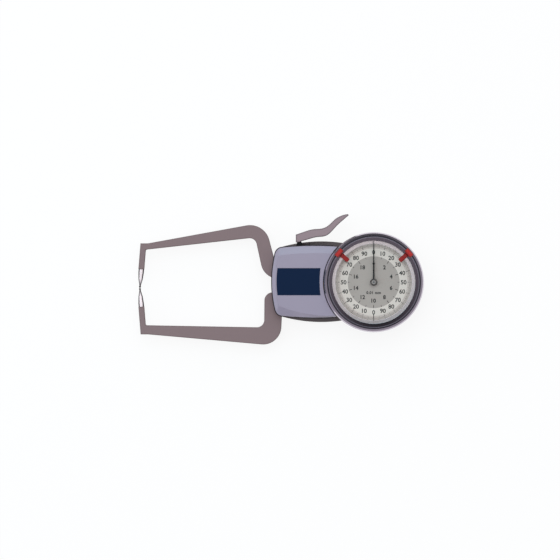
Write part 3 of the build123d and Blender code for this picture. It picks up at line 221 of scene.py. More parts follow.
def new_piece(name, points, faces, material, body, slot, smooth_angle=35.0):
    """Mesh object from an array of points and a list or array of faces, riding on a body."""
    mesh = bpy.data.meshes.new(name)
    corners = np.asarray(points, float).reshape(-1, 3).tolist()
    mesh.from_pydata(corners, [], [list(map(int, face)) for face in faces])
    mesh.validate()
    mesh.materials.append(material)
    mesh.polygons.foreach_set("use_smooth", np.ones(len(mesh.polygons), bool))
    mesh.set_sharp_from_angle(angle=math.radians(smooth_angle))
    mesh.update()
    piece = bpy.data.objects.new(name, mesh)
    bpy.context.scene.collection.objects.link(piece)
    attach(piece, body)
    return piece


def turned(profile, steps=192):
    """Points and faces of a closed section (radius, height) carried once round the Z axis: the point of
    section p at turn angle a is (radius cos a, radius sin a, height)."""
    profile = np.asarray(profile, float)
    angle = np.linspace(0, 2 * np.pi, steps, endpoint=False)
    radius = profile[:, 0][None, :]
    points = np.stack([radius * np.cos(angle)[:, None], radius * np.sin(angle)[:, None],
                       np.broadcast_to(profile[:, 1], (steps, len(profile)))], -1)
    return points.reshape(-1, 3), grid_faces(steps, len(profile), True, True)


def rounded(corners, radii, steps=5):
    """Closed outline with each corner replaced by an arc: the arc's points are a quadratic Bezier curve
    from a point on one side of the corner to a point as far along the other side."""
    corners = np.asarray(corners, float)
    reach = np.asarray(radii, float)[:, None]
    before = np.roll(corners, 1, 0) - corners
    after = np.roll(corners, -1, 0) - corners
    first = np.linalg.norm(before, axis=1, keepdims=True)
    last = np.linalg.norm(after, axis=1, keepdims=True)
    reach = np.minimum(reach, 0.45 * np.minimum(first, last))
    start = corners + before / first * reach
    end = corners + after / last * reach
    t = np.linspace(0, 1, steps)[None, :, None]
    arcs = (1 - t) ** 2 * start[:, None] + 2 * t * (1 - t) * corners[:, None] + t ** 2 * end[:, None]
    return arcs.reshape(-1, 2)


def printed_bars(angles, inner, outer, width, low, high):
    """Points and faces of flat radial bars: each is a box from an inner to an outer radius, turned about
    the Z axis by its own angle, clockwise from the top."""
    angles, inner, outer, width = (np.broadcast_to(np.asarray(v, float), np.shape(angles))
                                   for v in (angles, inner, outer, width))
    side = np.array([-0.5, 0.5, 0.5, -0.5] * 2)
    far = np.array([0, 0, 1, 1] * 2)
    level = np.array([low] * 4 + [high] * 4)
    across = side[None] * width[:, None]
    along = inner[:, None] + far[None] * (outer - inner)[:, None]
    sine, cosine = np.sin(angles)[:, None], np.cos(angles)[:, None]
    points = np.stack([across * cosine + along * sine, along * cosine - across * sine,
                       np.broadcast_to(level, across.shape)], -1)
    box = np.array([[3, 2, 1, 0], [4, 5, 6, 7], [0, 1, 5, 4], [1, 2, 6, 5], [2, 3, 7, 6], [3, 0, 4, 7]])
    faces = box[None] + 8 * np.arange(len(angles))[:, None, None]
    return points.reshape(-1, 3), faces.reshape(-1, 4)


def lettering(words, height, depth, weight, spacing):
    """Points and faces of a word, centred on the origin, with its capitals of one height and its back
    in the XY plane. The strokes grow by the weight, a share of the letters' size."""
    curve = bpy.data.curves.new("word", "FONT")
    curve.body = words
    curve.align_x = "CENTER"
    curve.resolution_u = 3
    curve.extrude = 0.5
    curve.offset = weight
    curve.space_character = spacing
    holder = bpy.data.objects.new("word", curve)
    bpy.context.scene.collection.objects.link(holder)
    bpy.context.view_layer.update()
    mesh = bpy.data.meshes.new_from_object(holder.evaluated_get(bpy.context.evaluated_depsgraph_get()))
    points = np.empty(len(mesh.vertices) * 3)
    mesh.vertices.foreach_get("co", points)
    points = points.reshape(-1, 3)
    faces = [list(p.vertices) for p in mesh.polygons]
    bpy.data.objects.remove(holder)
    bpy.data.curves.remove(curve)
    bpy.data.meshes.remove(mesh)
    low, high = points.min(0), points.max(0)
    scale = height / CAPITALS
    points[:, 0] = (points[:, 0] - (low[0] + high[0]) / 2) * scale
    points[:, 1] = (points[:, 1] - CAPITALS / 2) * scale
    points[:, 2] = (points[:, 2] - low[2]) * depth
    return points, faces


def joined(parts):
    """One array of points and one list of faces from several (points, faces) pairs."""
    points, faces, count = [], [], 0
    for part_points, part_faces in parts:
        points.append(part_points)
        faces.extend([[int(v) + count for v in face] for face in part_faces])
        count += len(part_points)
    return np.concatenate(points), faces


# Shared effects

def group_of(name, inputs, outputs):
    """New shader node group with named inputs and outputs."""
    group = bpy.data.node_groups.new(name, "ShaderNodeTree")
    for label, kind, default in inputs:
        socket = group.interface.new_socket(name=label, in_out="INPUT", socket_type=kind)
        if default is not None:
            socket.default_value = default
    for label, kind in outputs:
        group.interface.new_socket(name=label, in_out="OUTPUT", socket_type=kind)
    return group, group.nodes.new("NodeGroupInput"), group.nodes.new("NodeGroupOutput")


def node(tree, kind, **settings):
    """New node with its settings; a setting that names an input sets that input's value."""
    made = tree.nodes.new(kind)
    for key, value in settings.items():
        if hasattr(made, key) and key not in made.inputs:
            setattr(made, key, value)
        else:
            made.inputs[key.replace("_", " ")].default_value = value
    return made


def maths(tree, operation, first, second=None, third=None):
    """Math node fed by numbers or sockets."""
    made = tree.nodes.new("ShaderNodeMath")
    made.operation = operation
    for index, value in enumerate((first, second, third)):
        if value is None:
            continue
        if isinstance(value, (int, float)):
            made.inputs[index].default_value = value
        else:
            tree.links.new(value, made.inputs[index])
    return made.outputs[0]


def fine_grain():
    """Fine grain of a painted or blasted surface: two layers of noise in object space, as a value about
    0.5 and as a bumped normal."""
    group, given, made = group_of("Fine grain", [
        ("Scale", "NodeSocketFloat", 2500.0), ("Depth", "NodeSocketFloat", 0.00002),
        ("Strength", "NodeSocketFloat", 0.3)],
        [("Value", "NodeSocketFloat"), ("Normal", "NodeSocketVector")])
    place = node(group, "ShaderNodeTexCoord")
    fine = node(group, "ShaderNodeTexNoise", Detail=2.0, Roughness=0.6)
    broad = node(group, "ShaderNodeTexNoise", Detail=3.0, Roughness=0.5, Scale=60.0)
    bump = node(group, "ShaderNodeBump")
    group.links.new(place.outputs["Object"], fine.inputs["Vector"])
    group.links.new(place.outputs["Object"], broad.inputs["Vector"])
    group.links.new(given.outputs["Scale"], fine.inputs["Scale"])
    mixed = maths(group, "MULTIPLY_ADD", fine.outputs["Fac"], 0.6, maths(group, "MULTIPLY",
                                                                         broad.outputs["Fac"], 0.4))
    group.links.new(mixed, made.inputs["Value"])
    group.links.new(fine.outputs["Fac"], bump.inputs["Height"])
    group.links.new(given.outputs["Depth"], bump.inputs["Distance"])
    group.links.new(given.outputs["Strength"], bump.inputs["Strength"])
    group.links.new(bump.outputs["Normal"], made.inputs["Normal"])
    return group


def edge_shade():
    """Mask of the edges, from how far the normal turns when the edges are rounded by a radius: one
    minus the scalar product of the plain and the rounded normal, spread to run from 0 to 1."""
    group, given, made = group_of("Edge shade", [("Radius", "NodeSocketFloat", 0.0005)],
                                  [("Mask", "NodeSocketFloat")])
    bevel = node(group, "ShaderNodeBevel", samples=6)
    plain = node(group, "ShaderNodeNewGeometry")
    product = node(group, "ShaderNodeVectorMath", operation="DOT_PRODUCT")
    group.links.new(given.outputs["Radius"], bevel.inputs["Radius"])
    group.links.new(bevel.outputs["Normal"], product.inputs[0])
    group.links.new(plain.outputs["Normal"], product.inputs[1])
    turn = maths(group, "SUBTRACT", 1.0, product.outputs["Value"])
    spread = node(group, "ShaderNodeMapRange")
    spread.inputs["From Max"].default_value = 0.12
    group.links.new(turn, spread.inputs["Value"])
    group.links.new(spread.outputs["Result"], made.inputs["Mask"])
    return group


def steep_faces():
    """Mask of the faces that stand steeply: one where the height of the normal, without its sign, is
    below 0.6, falling to nothing at 0.95."""
    group, given, made = group_of("Steep faces", [], [("Mask", "NodeSocketFloat")])
    facing = node(group, "ShaderNodeNewGeometry")
    parts = node(group, "ShaderNodeSeparateXYZ")
    step = node(group, "ShaderNodeMapRange", interpolation_type="SMOOTHSTEP")
    for key, value in (("From Min", 0.6), ("From Max", 0.95), ("To Min", 1.0), ("To Max", 0.0)):
        step.inputs[key].default_value = value
    group.links.new(facing.outputs["Normal"], parts.inputs["Vector"])
    group.links.new(maths(group, "ABSOLUTE", parts.outputs["Z"]), step.inputs["Value"])
    group.links.new(step.outputs["Result"], made.inputs["Mask"])
    return group


def from_axis(group):
    """Distance from the Z axis and height, both in object space, as two sockets of a tree."""
    place = node(group, "ShaderNodeTexCoord")
    parts = node(group, "ShaderNodeSeparateXYZ")
    group.links.new(place.outputs["Object"], parts.inputs["Vector"])
    radius = maths(group, "SQRT", maths(group, "ADD", maths(group, "POWER", parts.outputs["X"], 2.0),
                                        maths(group, "POWER", parts.outputs["Y"], 2.0)))
    return radius, parts.outputs["Z"]


def turning_marks():
    """Fine rings that a lathe leaves: noise read along the radius and the height alone, as a value and
    as a bumped normal."""
    group, given, made = group_of("Turning marks", [
        ("Scale", "NodeSocketFloat", 9000.0), ("Depth", "NodeSocketFloat", 0.00001),
        ("Strength", "NodeSocketFloat", 0.35)],
        [("Value", "NodeSocketFloat"), ("Normal", "NodeSocketVector")])
    radius, height = from_axis(group)
    along = maths(group, "ADD", radius, maths(group, "MULTIPLY", height, 1.7))
    rings = node(group, "ShaderNodeTexNoise", noise_dimensions="1D", Detail=2.0, Roughness=0.7)
    bump = node(group, "ShaderNodeBump")
    group.links.new(along, rings.inputs["W"])
    group.links.new(given.outputs["Scale"], rings.inputs["Scale"])
    group.links.new(rings.outputs["Fac"], made.inputs["Value"])
    group.links.new(rings.outputs["Fac"], bump.inputs["Height"])
    group.links.new(given.outputs["Depth"], bump.inputs["Distance"])
    group.links.new(given.outputs["Strength"], bump.inputs["Strength"])
    group.links.new(bump.outputs["Normal"], made.inputs["Normal"])
    return group


def radial_distance():
    """Distance from the Z axis in object space, in metres."""
    group, given, made = group_of("Radial distance", [], [("Radius", "NodeSocketFloat")])
    group.links.new(from_axis(group)[0], made.inputs["Radius"])
    return group


def shared(name, maker):
    """The node group of that name, made on first use."""
    return bpy.data.node_groups.get(name) or maker()


def use_group(tree, name, maker, **values):
    """Node that holds a shared group, with its inputs set."""
    made = tree.nodes.new("ShaderNodeGroup")
    made.node_tree = shared(name, maker)
    for key, value in values.items():
        made.inputs[key].default_value = value
    return made


# Materials

def blank(name, **settings):
    """Material with a Principled shader whose plain values are set on its own sockets."""
    material = bpy.data.materials.new(name)
    material.use_nodes = True
    shader = material.node_tree.nodes["Principled BSDF"]
    for key, value in settings.items():
        shader.inputs[key.replace("_", " ")].default_value = value
    return material, material.node_tree, shader


def mixed_colour(tree, mask, first, second):
    """Colour that goes from a first to a second, each a colour or a socket, by a mask."""
    mix = tree.nodes.new("ShaderNodeMix")
    mix.data_type = "RGBA"
    tree.links.new(mask, mix.inputs["Factor"])
    for label, value in (("A", first), ("B", second)):
        socket = [s for s in mix.inputs if s.name == label and s.type == "RGBA"][0]
        if isinstance(value, bpy.types.NodeSocket):
            tree.links.new(value, socket)
        else:
            socket.default_value = (*value[:3], 1.0)
    return [s for s in mix.outputs if s.type == "RGBA"][0]


def scaled(colour_value, factor):
    return tuple(min(1.0, c * factor) for c in colour_value)


def painted(name, base, grain_scale=2600.0, roughness=0.42, edge=0.55, edge_radius=0.0006, specular=0.5,
            metallic=0.0, drift=0.05, side_shade=0.0, shade_radius=None, shade_blur=0.0005):
    """Painted or blasted metal: fine grain and slow drift of the colour, with painted shade that darkens the
    edges and the steep sides against the faces that look up or down. Within the shade radius from the dial's
    axis the colour is darkened as painted shade."""
    material, tree, shader = blank(name, Metallic=metallic, Specular_IOR_Level=specular)
    grain = use_group(tree, "Fine grain", fine_grain, Scale=grain_scale)
    shade = use_group(tree, "Edge shade", edge_shade, Radius=edge_radius)
    drifting = mixed_colour(tree, grain.outputs["Value"], scaled(base, 1 - drift), scaled(base, 1 + drift))
    # Painted shade: the edges are darkened towards EDGE_KEEPS of the colour
    strength = maths(tree, "MULTIPLY", shade.outputs["Mask"], edge)
    edged = mixed_colour(tree, strength, drifting, scaled(base, EDGE_KEEPS))
    # Painted shade: the steep sides are darkened towards SIDE_KEEPS of the colour
    if side_shade:
        steep = use_group(tree, "Steep faces", steep_faces)
        share = maths(tree, "MULTIPLY", steep.outputs["Mask"], side_shade)
        edged = mixed_colour(tree, share, edged, scaled(base, SIDE_KEEPS))
    # Painted shade: inside the shade radius the colour is darkened
    if shade_radius:
        step = node(tree, "ShaderNodeMapRange", interpolation_type="SMOOTHSTEP")
        step.inputs["From Min"].default_value = shade_radius + shade_blur
        step.inputs["From Max"].default_value = shade_radius - shade_blur
        radius = use_group(tree, "Radial distance", radial_distance).outputs["Radius"]
        tree.links.new(radius, step.inputs["Value"])
        share = maths(tree, "MULTIPLY", step.outputs["Result"], 0.5)
        edged = mixed_colour(tree, share, edged, scaled(base, SIDE_KEEPS))
    tree.links.new(edged, shader.inputs["Base Color"])
    rough = maths(tree, "MULTIPLY_ADD", grain.outputs["Value"], 0.16, roughness - 0.08)
    tree.links.new(rough, shader.inputs["Roughness"])
    tree.links.new(grain.outputs["Normal"], shader.inputs["Normal"])
    return material


def turned_metal(name, base, roughness=0.3):
    """Turned metal with fine rings about the dial's axis."""
    material, tree, shader = blank(name, Metallic=1.0)
    marks = use_group(tree, "Turning marks", turning_marks)
    tree.links.new(mixed_colour(tree, marks.outputs["Value"], scaled(base, 0.86), scaled(base, 1.1)),
                   shader.inputs["Base Color"])
    tree.links.new(maths(tree, "MULTIPLY_ADD", marks.outputs["Value"], 0.2, roughness - 0.1),
                   shader.inputs["Roughness"])
    tree.links.new(marks.outputs["Normal"], shader.inputs["Normal"])
    return material


def moulded(name, base, roughness=0.45, grain_scale=3800.0, edge=0.3, specular=0.5):
    """Moulded plastic or rubber with a fine texture and its edges darkened as painted shade."""
    material, tree, shader = blank(name, Specular_IOR_Level=specular)
    grain = use_group(tree, "Fine grain", fine_grain, Scale=grain_scale, Strength=0.2)
    shade = use_group(tree, "Edge shade", edge_shade, Radius=0.0003)
    drift = mixed_colour(tree, grain.outputs["Value"], scaled(base, 0.94), scaled(base, 1.06))
    # Painted shade: the edges are darkened towards half the colour
    strength = maths(tree, "MULTIPLY", shade.outputs["Mask"], edge)
    tree.links.new(mixed_colour(tree, strength, drift, scaled(base, 0.5)), shader.inputs["Base Color"])
    tree.links.new(maths(tree, "MULTIPLY_ADD", grain.outputs["Value"], 0.2, roughness - 0.1),
                   shader.inputs["Roughness"])
    tree.links.new(grain.outputs["Normal"], shader.inputs["Normal"])
    return material


def ground_cone(name, face, flank, meeting, spread=0.78, dark_tip=0.0012, bright_from=0.0060):
    """Steel with a painted highlight on the faces that look up and down, and painted shade on the flanks and
    the tip: the mask is the height of the surface's normal, taken without its sign, times the distance from
    where the tips meet."""
    material, tree, shader = blank(name, Metallic=0.05, Specular_IOR_Level=0.2)
    facing = node(tree, "ShaderNodeNewGeometry")
    parts = node(tree, "ShaderNodeSeparateXYZ")
    tree.links.new(facing.outputs["Normal"], parts.inputs["Vector"])
    step = node(tree, "ShaderNodeMapRange", interpolation_type="SMOOTHSTEP")
    step.inputs["From Min"].default_value = spread
    step.inputs["From Max"].default_value = spread + 0.12
    tree.links.new(maths(tree, "ABSOLUTE", parts.outputs["Z"]), step.inputs["Value"])
    place = node(tree, "ShaderNodeTexCoord")
    along = node(tree, "ShaderNodeSeparateXYZ")
    tree.links.new(place.outputs["Object"], along.inputs["Vector"])
    reach = node(tree, "ShaderNodeMapRange", interpolation_type="SMOOTHSTEP")
    reach.inputs["From Min"].default_value = dark_tip
    reach.inputs["From Max"].default_value = bright_from
    tree.links.new(maths(tree, "ABSOLUTE", maths(tree, "SUBTRACT", along.outputs["Y"], meeting)),
                   reach.inputs["Value"])
    # Painted highlight where the mask is one, and painted shade on the flanks and tip where it falls to
    # nought
    bright = maths(tree, "MULTIPLY", step.outputs["Result"], reach.outputs["Result"])
    grain = use_group(tree, "Fine grain", fine_grain, Scale=5200.0, Strength=0.15)
    highlight_grain = mixed_colour(tree, grain.outputs["Value"], scaled(face, 0.95), scaled(face, 1.04))
    tree.links.new(mixed_colour(tree, bright, flank, highlight_grain), shader.inputs["Base Color"])
    tree.links.new(maths(tree, "MULTIPLY_ADD", grain.outputs["Value"], 0.15, 0.22),
                   shader.inputs["Roughness"])
    tree.links.new(grain.outputs["Normal"], shader.inputs["Normal"])
    return material


def banded(name, bands, roughness, metallic=0.0, softness=0.0001):
    """Rings of colour about the Z axis: each band is (outer radius, colour), from the inside out, with
    turning marks over them."""
    material, tree, shader = blank(name, Metallic=metallic)
    radius = use_group(tree, "Radial distance", radial_distance).outputs["Radius"]
    marks = use_group(tree, "Turning marks", turning_marks, Strength=0.12)
    result = bands[0][1]
    for inner, (_, following) in zip(bands[:-1], bands[1:]):
        step = node(tree, "ShaderNodeMapRange", interpolation_type="SMOOTHSTEP")
        step.inputs["From Min"].default_value = inner[0] - softness
        step.inputs["From Max"].default_value = inner[0] + softness
        tree.links.new(radius, step.inputs["Value"])
        result = mixed_colour(tree, step.outputs["Result"], result, following)
    grain = use_group(tree, "Fine grain", fine_grain, Scale=1800.0)
    darker = maths(tree, "MULTIPLY", maths(tree, "SUBTRACT", grain.outputs["Value"], 0.4), 0.15)
    tree.links.new(mixed_colour(tree, darker, result, (0.1, 0.1, 0.1)), shader.inputs["Base Color"])
    tree.links.new(maths(tree, "MULTIPLY_ADD", marks.outputs["Value"], 0.16, roughness - 0.08),
                   shader.inputs["Roughness"])
    tree.links.new(marks.outputs["Normal"], shader.inputs["Normal"])
    return material


def finish(material, *names):
    """Gives CAD nodes a material."""
    for name in names:
        node_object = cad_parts[name]
        node_object.data.materials.clear()
        node_object.data.materials.append(material)


class GAUGE_OT_stage(bpy.types.Operator):
    """Pale floor, plain soft light and the camera straight above the gauge"""
    bl_idname = "gauge.stage"
    bl_label = "Stage"

    def execute(self, context):
        stage = context.scene.gauge_stage
        self.floor(stage)
        self.light(stage)
        self.surround(context, stage)
        self.camera(context, stage)
        context.scene.view_settings.view_transform = "Standard"
        return {"FINISHED"}

    def floor(self, stage):
        """Square floor under the gauge. Seen directly, in a reflection or through glass it is mostly lit
        by itself, so that it stays pale and keeps a faint shadow."""
        material, tree, shader = blank("Floor", Base_Color=(0.55, 0.55, 0.55, 1.0), Roughness=0.9)
        shader.inputs["Specular IOR Level"].default_value = 0.0
        grain = use_group(tree, "Fine grain", fine_grain, Scale=900.0, Strength=0.05)
        tree.links.new(grain.outputs["Normal"], shader.inputs["Normal"])
        path = tree.nodes.new("ShaderNodeLightPath")
        seen = path.outputs["Is Camera Ray"]
        for ray in ("Is Glossy Ray", "Is Transmission Ray"):
            seen = maths(tree, "MAXIMUM", seen, path.outputs[ray])
        glow = node(tree, "ShaderNodeEmission", Color=(1.0, 1.0, 1.0, 1.0), Strength=1.12)
        mix = tree.nodes.new("ShaderNodeMixShader")
        tree.links.new(maths(tree, "MULTIPLY", seen, 0.78), mix.inputs["Fac"])
        tree.links.new(shader.outputs["BSDF"], mix.inputs[1])
        tree.links.new(glow.outputs["Emission"], mix.inputs[2])
        tree.links.new(mix.outputs["Shader"], tree.nodes["Material Output"].inputs["Surface"])
        steps = np.linspace(-stage.floor_half, stage.floor_half, 9)
        x, y = np.meshgrid(steps, steps, indexing="ij")
        points = np.stack([x, y, np.full_like(x, CAD_BOX[0][2] - stage.floor_gap)], -1)
        mesh = bpy.data.meshes.new("floor")
        mesh.from_pydata(points.reshape(-1, 3).tolist(), [], grid_faces(9, 9).tolist())
        mesh.materials.append(material)
        floor = bpy.data.objects.new("floor", mesh)
        bpy.context.scene.collection.objects.link(floor)

    def light(self, stage):
        """Large soft key from above on the lever's side and a weaker one from the left. Reflections show
        the surround and not the lamps."""
        side_power = stage.key_power * stage.side_share
        for name, place, size, power, tint in (
            ("key", stage.key_place, stage.key_size, stage.key_power, (1.0, 0.965, 0.98)),
            ("side", stage.side_place, stage.side_size, side_power, (0.45, 0.85, 1.0)),
        ):
            lamp = bpy.data.lights.new(name, "AREA")
            lamp.size = size
            lamp.energy = power
            lamp.color = tint
            holder = bpy.data.objects.new(name, lamp)
            holder.location = place
            holder.visible_glossy = False
            aim = np.array(stage.aim) - np.array(place)
            tilt = math.atan2(math.hypot(aim[0], aim[1]), -aim[2])
            holder.rotation_euler = (tilt, 0.0, math.atan2(aim[1], aim[0]) - math.pi / 2)
            bpy.context.scene.collection.objects.link(holder)

    def surround(self, context, stage):
        """Light from all round, stronger and cooler from the lever's side. In reflections it is a cool
        card high up on that side, a dim zenith, and a horizon that goes from dark there to bright
        opposite. Seen directly it is even and pale."""
        world = bpy.data.worlds.new("Surround")
        context.scene.world = world
        world.use_nodes = True
        tree = world.node_tree
        background = tree.nodes["Background"]
        path = tree.nodes.new("ShaderNodeLightPath")
        place = tree.nodes.new("ShaderNodeTexCoord")
        parts = tree.nodes.new("ShaderNodeSeparateXYZ")
        tree.links.new(place.outputs["Generated"], parts.inputs["Vector"])
        x, y, z = (parts.outputs[axis] for axis in "XYZ")
        overhead = maths(tree, "MAXIMUM", maths(tree, "MULTIPLY_ADD", y, 1.2, 0.3), 0.02)
        across = maths(tree, "MULTIPLY", x, maths(tree, "MULTIPLY_ADD", x, 0.24, 0.08))
        sideways = maths(tree, "ADD", across, maths(tree, "MULTIPLY_ADD", y, -0.42, 0.52))
        rise = node(tree, "ShaderNodeMapRange", interpolation_type="SMOOTHSTEP")
        rise.inputs["From Min"].default_value = 0.6
        rise.inputs["From Max"].default_value = 0.84
        tree.links.new(z, rise.inputs["Value"])
        high = rise.outputs["Result"]
        pattern = maths(tree, "ADD", maths(tree, "MULTIPLY", overhead, high),
                        maths(tree, "MULTIPLY", sideways, maths(tree, "SUBTRACT", 1.0, high)))
        glossy = path.outputs["Is Glossy Ray"]
        even = maths(tree, "MULTIPLY_ADD", y, stage.world_level * 0.8, stage.world_level)
        level = maths(tree, "ADD", maths(tree, "MULTIPLY", pattern, glossy),
                      maths(tree, "MULTIPLY", maths(tree, "SUBTRACT", 1.0, glossy), even))
        seen = maths(tree, "MAXIMUM", path.outputs["Is Camera Ray"], path.outputs["Is Transmission Ray"])
        tree.links.new(maths(tree, "MAXIMUM", seen, level), background.inputs["Strength"])
        cool = maths(tree, "MULTIPLY_ADD", y, 1.4, 0.2)
        cool = maths(tree, "MAXIMUM", maths(tree, "MINIMUM", cool, 1.0), 0.0)
        cool = maths(tree, "MULTIPLY", cool, high)
        cool = maths(tree, "MULTIPLY", cool, maths(tree, "SUBTRACT", 1.0, seen))
        tree.links.new(mixed_colour(tree, cool, (1.0, 0.95, 0.97), (0.3, 0.85, 1.0)),
                       background.inputs["Color"])

    def camera(self, context, stage):
        """Long lens straight above, with the photograph's field."""
        data = bpy.data.cameras.new("camera")
        data.lens = stage.lens
        data.sensor_width = 36.0
        data.clip_end = 20.0
        holder = bpy.data.objects.new("camera", data)
        distance = stage.field * data.lens / data.sensor_width
        holder.location = (-stage.view_x, stage.view_y, stage.camera_level + distance)
        context.scene.collection.objects.link(holder)
        context.scene.camera = holder


class GAUGE_OT_housing(bpy.types.Operator):
    """Paint of the two housing shells, the bare name plate and the screws"""
    bl_idname = "gauge.housing"
    bl_label = "Housing"

    def execute(self, context):
        colours = context.scene.gauge_colours
        # Painted shade: the edges of both shells are darkened
        finish(painted("Housing paint", colours.housing, roughness=0.30, edge=0.8, edge_radius=0.0005,
                       specular=1.0), "front_cover")
        finish(painted("Back paint", colours.back, roughness=0.6, edge=0.5, edge_radius=0.0005,
                       specular=0.05), "rear_housing")
        # A dark bead that paints the shadow in the joint between cover and rear housing
        bead = self.seam(context.scene.gauge_trim)
        new_piece("cover_joint_shadow", *bead, moulded("Joint shadow bead", colours.seam, roughness=0.6), "housing",
                  "grommet_rubber")
        finish(moulded("Navy plate", colours.label, roughness=0.4, edge=0.2, specular=0.15), "name_plate")
        finish(turned_metal("Screw steel", linear(150, 150, 154), roughness=0.35),
               "cover_screws", "arm_screws", "plate_screws")
        return {"FINISHED"}

    def seam(self, trim):
        """Dark bead that paints the shadow in the joint between cover and rear housing: a half round section
        carried along the cover's outline, from one side of the bezel round the left end to the other. The
        outline is the row of points that lie farthest out in each direction, and the section moves out from
        each along the curve's normal."""
        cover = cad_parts["front_cover"].data
        points = np.empty(len(cover.vertices) * 3)
        cover.vertices.foreach_get("co", points)
        points = points.reshape(-1, 3)
        flat = np.round(points[points[:, 2] > trim.seam_level - trim.seam_rise, :2], 6)
        direction = np.radians(np.arange(0, 360, 0.25))
        reach = np.stack([np.cos(direction), np.sin(direction)], -1) @ flat.T
        outline = flat[np.argmax(reach, axis=1)]
        outline = outline[np.any(outline != np.roll(outline, 1, 0), axis=1)]
        outline = outline[np.hypot(outline[:, 0], outline[:, 1]) > trim.seam_end]
        ahead = np.gradient(outline, axis=0)
        ahead /= np.linalg.norm(ahead, axis=1, keepdims=True)
        outward = np.stack([ahead[:, 1], -ahead[:, 0]], -1)
        turn = np.linspace(-np.pi / 2, np.pi / 2, 7)
        out = (trim.seam_reach + trim.seam_sink) * np.cos(turn) - trim.seam_sink
        ring = outline[:, None] + outward[:, None] * out[None, :, None]
        height = np.broadcast_to(trim.seam_level + trim.seam_rise * np.sin(turn), ring.shape[:2])
        bead = np.concatenate([ring, height[..., None]], -1)
        return bead.reshape(-1, 3), grid_faces(*ring.shape[:2], close_columns=True)


class GAUGE_OT_arms(bpy.types.Operator):
    """Blasted finish of the arms and the lever, with the lever's stem and its rubber"""
    bl_idname = "gauge.arms"
    bl_label = "Arms and lever"

    def execute(self, context):
        colours = context.scene.gauge_colours
        # Painted shade: the edges and steep sides of the arms and the lever are darkened
        finish(painted("Arm finish", colours.arms, roughness=0.55, edge=0.45, edge_radius=0.0004,
                       metallic=0.15, grain_scale=3200.0, side_shade=0.35), "moving_arm", "fixed_arm")
        finish(painted("Lever finish", colours.lever, roughness=0.45, edge=1.0, edge_radius=0.0012,
                       metallic=0.15, side_shade=0.6), "lever")
        finish(moulded("Black rubber", colours.rubber, roughness=0.6), "stem_grommet", "crystal_seal")
        finish(painted("Blackened steel", linear(52, 50, 52), roughness=0.4, metallic=0.6),
               "lever_stem", "slot_shutter")
        return {"FINISHED"}


class GAUGE_OT_contacts(bpy.types.Operator):
    """Ground finish of the two contacts, with a painted highlight on the face and painted shade on the flanks
    """
    bl_idname = "gauge.contacts"
    bl_label = "Contacts"

    def execute(self, context):
        colours = context.scene.gauge_colours
        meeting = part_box("moving_contact")[0].y
        finish(ground_cone("Contact steel", colours.contact, colours.flank, meeting),
               "moving_contact", "fixed_contact")
        return {"FINISHED"}


class GAUGE_OT_bezel(bpy.types.Operator):
    """Turned bezel whose bands of colour paint its highlights and shade, a bright crest and rim and a dark
    groove and inner slope, and the crystal
    """
    bl_idname = "gauge.bezel"
    bl_label = "Bezel and crystal"

    def execute(self, context):
        colours = context.scene.gauge_colours
        trim = context.scene.gauge_trim
        # Painted highlight on the crest and rim, and painted shade on the groove and inner slope
        bands = [(trim.slope_radius, colours.slope), (trim.crest_radius, colours.crest),
                 (trim.groove_radius, colours.groove), (trim.shoulder_radius, colours.shoulder),
                 (math.inf, colours.rim)]
        finish(banded("Bezel finish", bands, 0.2, metallic=0.88), "bezel_ring")
        finish(turned_metal("Carrier", linear(190, 188, 190), roughness=0.4),
               "dial_carrier", "retaining_ring")
        finish(self.crystal_glass(), "crystal")
        return {"FINISHED"}

    def crystal_glass(self):
        """Clear crystal: see-through but for the few hundredths that it reflects, with a trace of haze."""
        material, tree, shader = blank("Crystal", Base_Color=(0.96, 0.98, 0.98, 1.0), Metallic=1.0)
        grain = use_group(tree, "Fine grain", fine_grain, Scale=120.0, Strength=0.02)
        tree.links.new(maths(tree, "MULTIPLY_ADD", grain.outputs["Value"], 0.02, 0.025),
                       shader.inputs["Alpha"])
        tree.links.new(maths(tree, "MULTIPLY_ADD", grain.outputs["Value"], 0.04, 0.02),
                       shader.inputs["Roughness"])
        return material


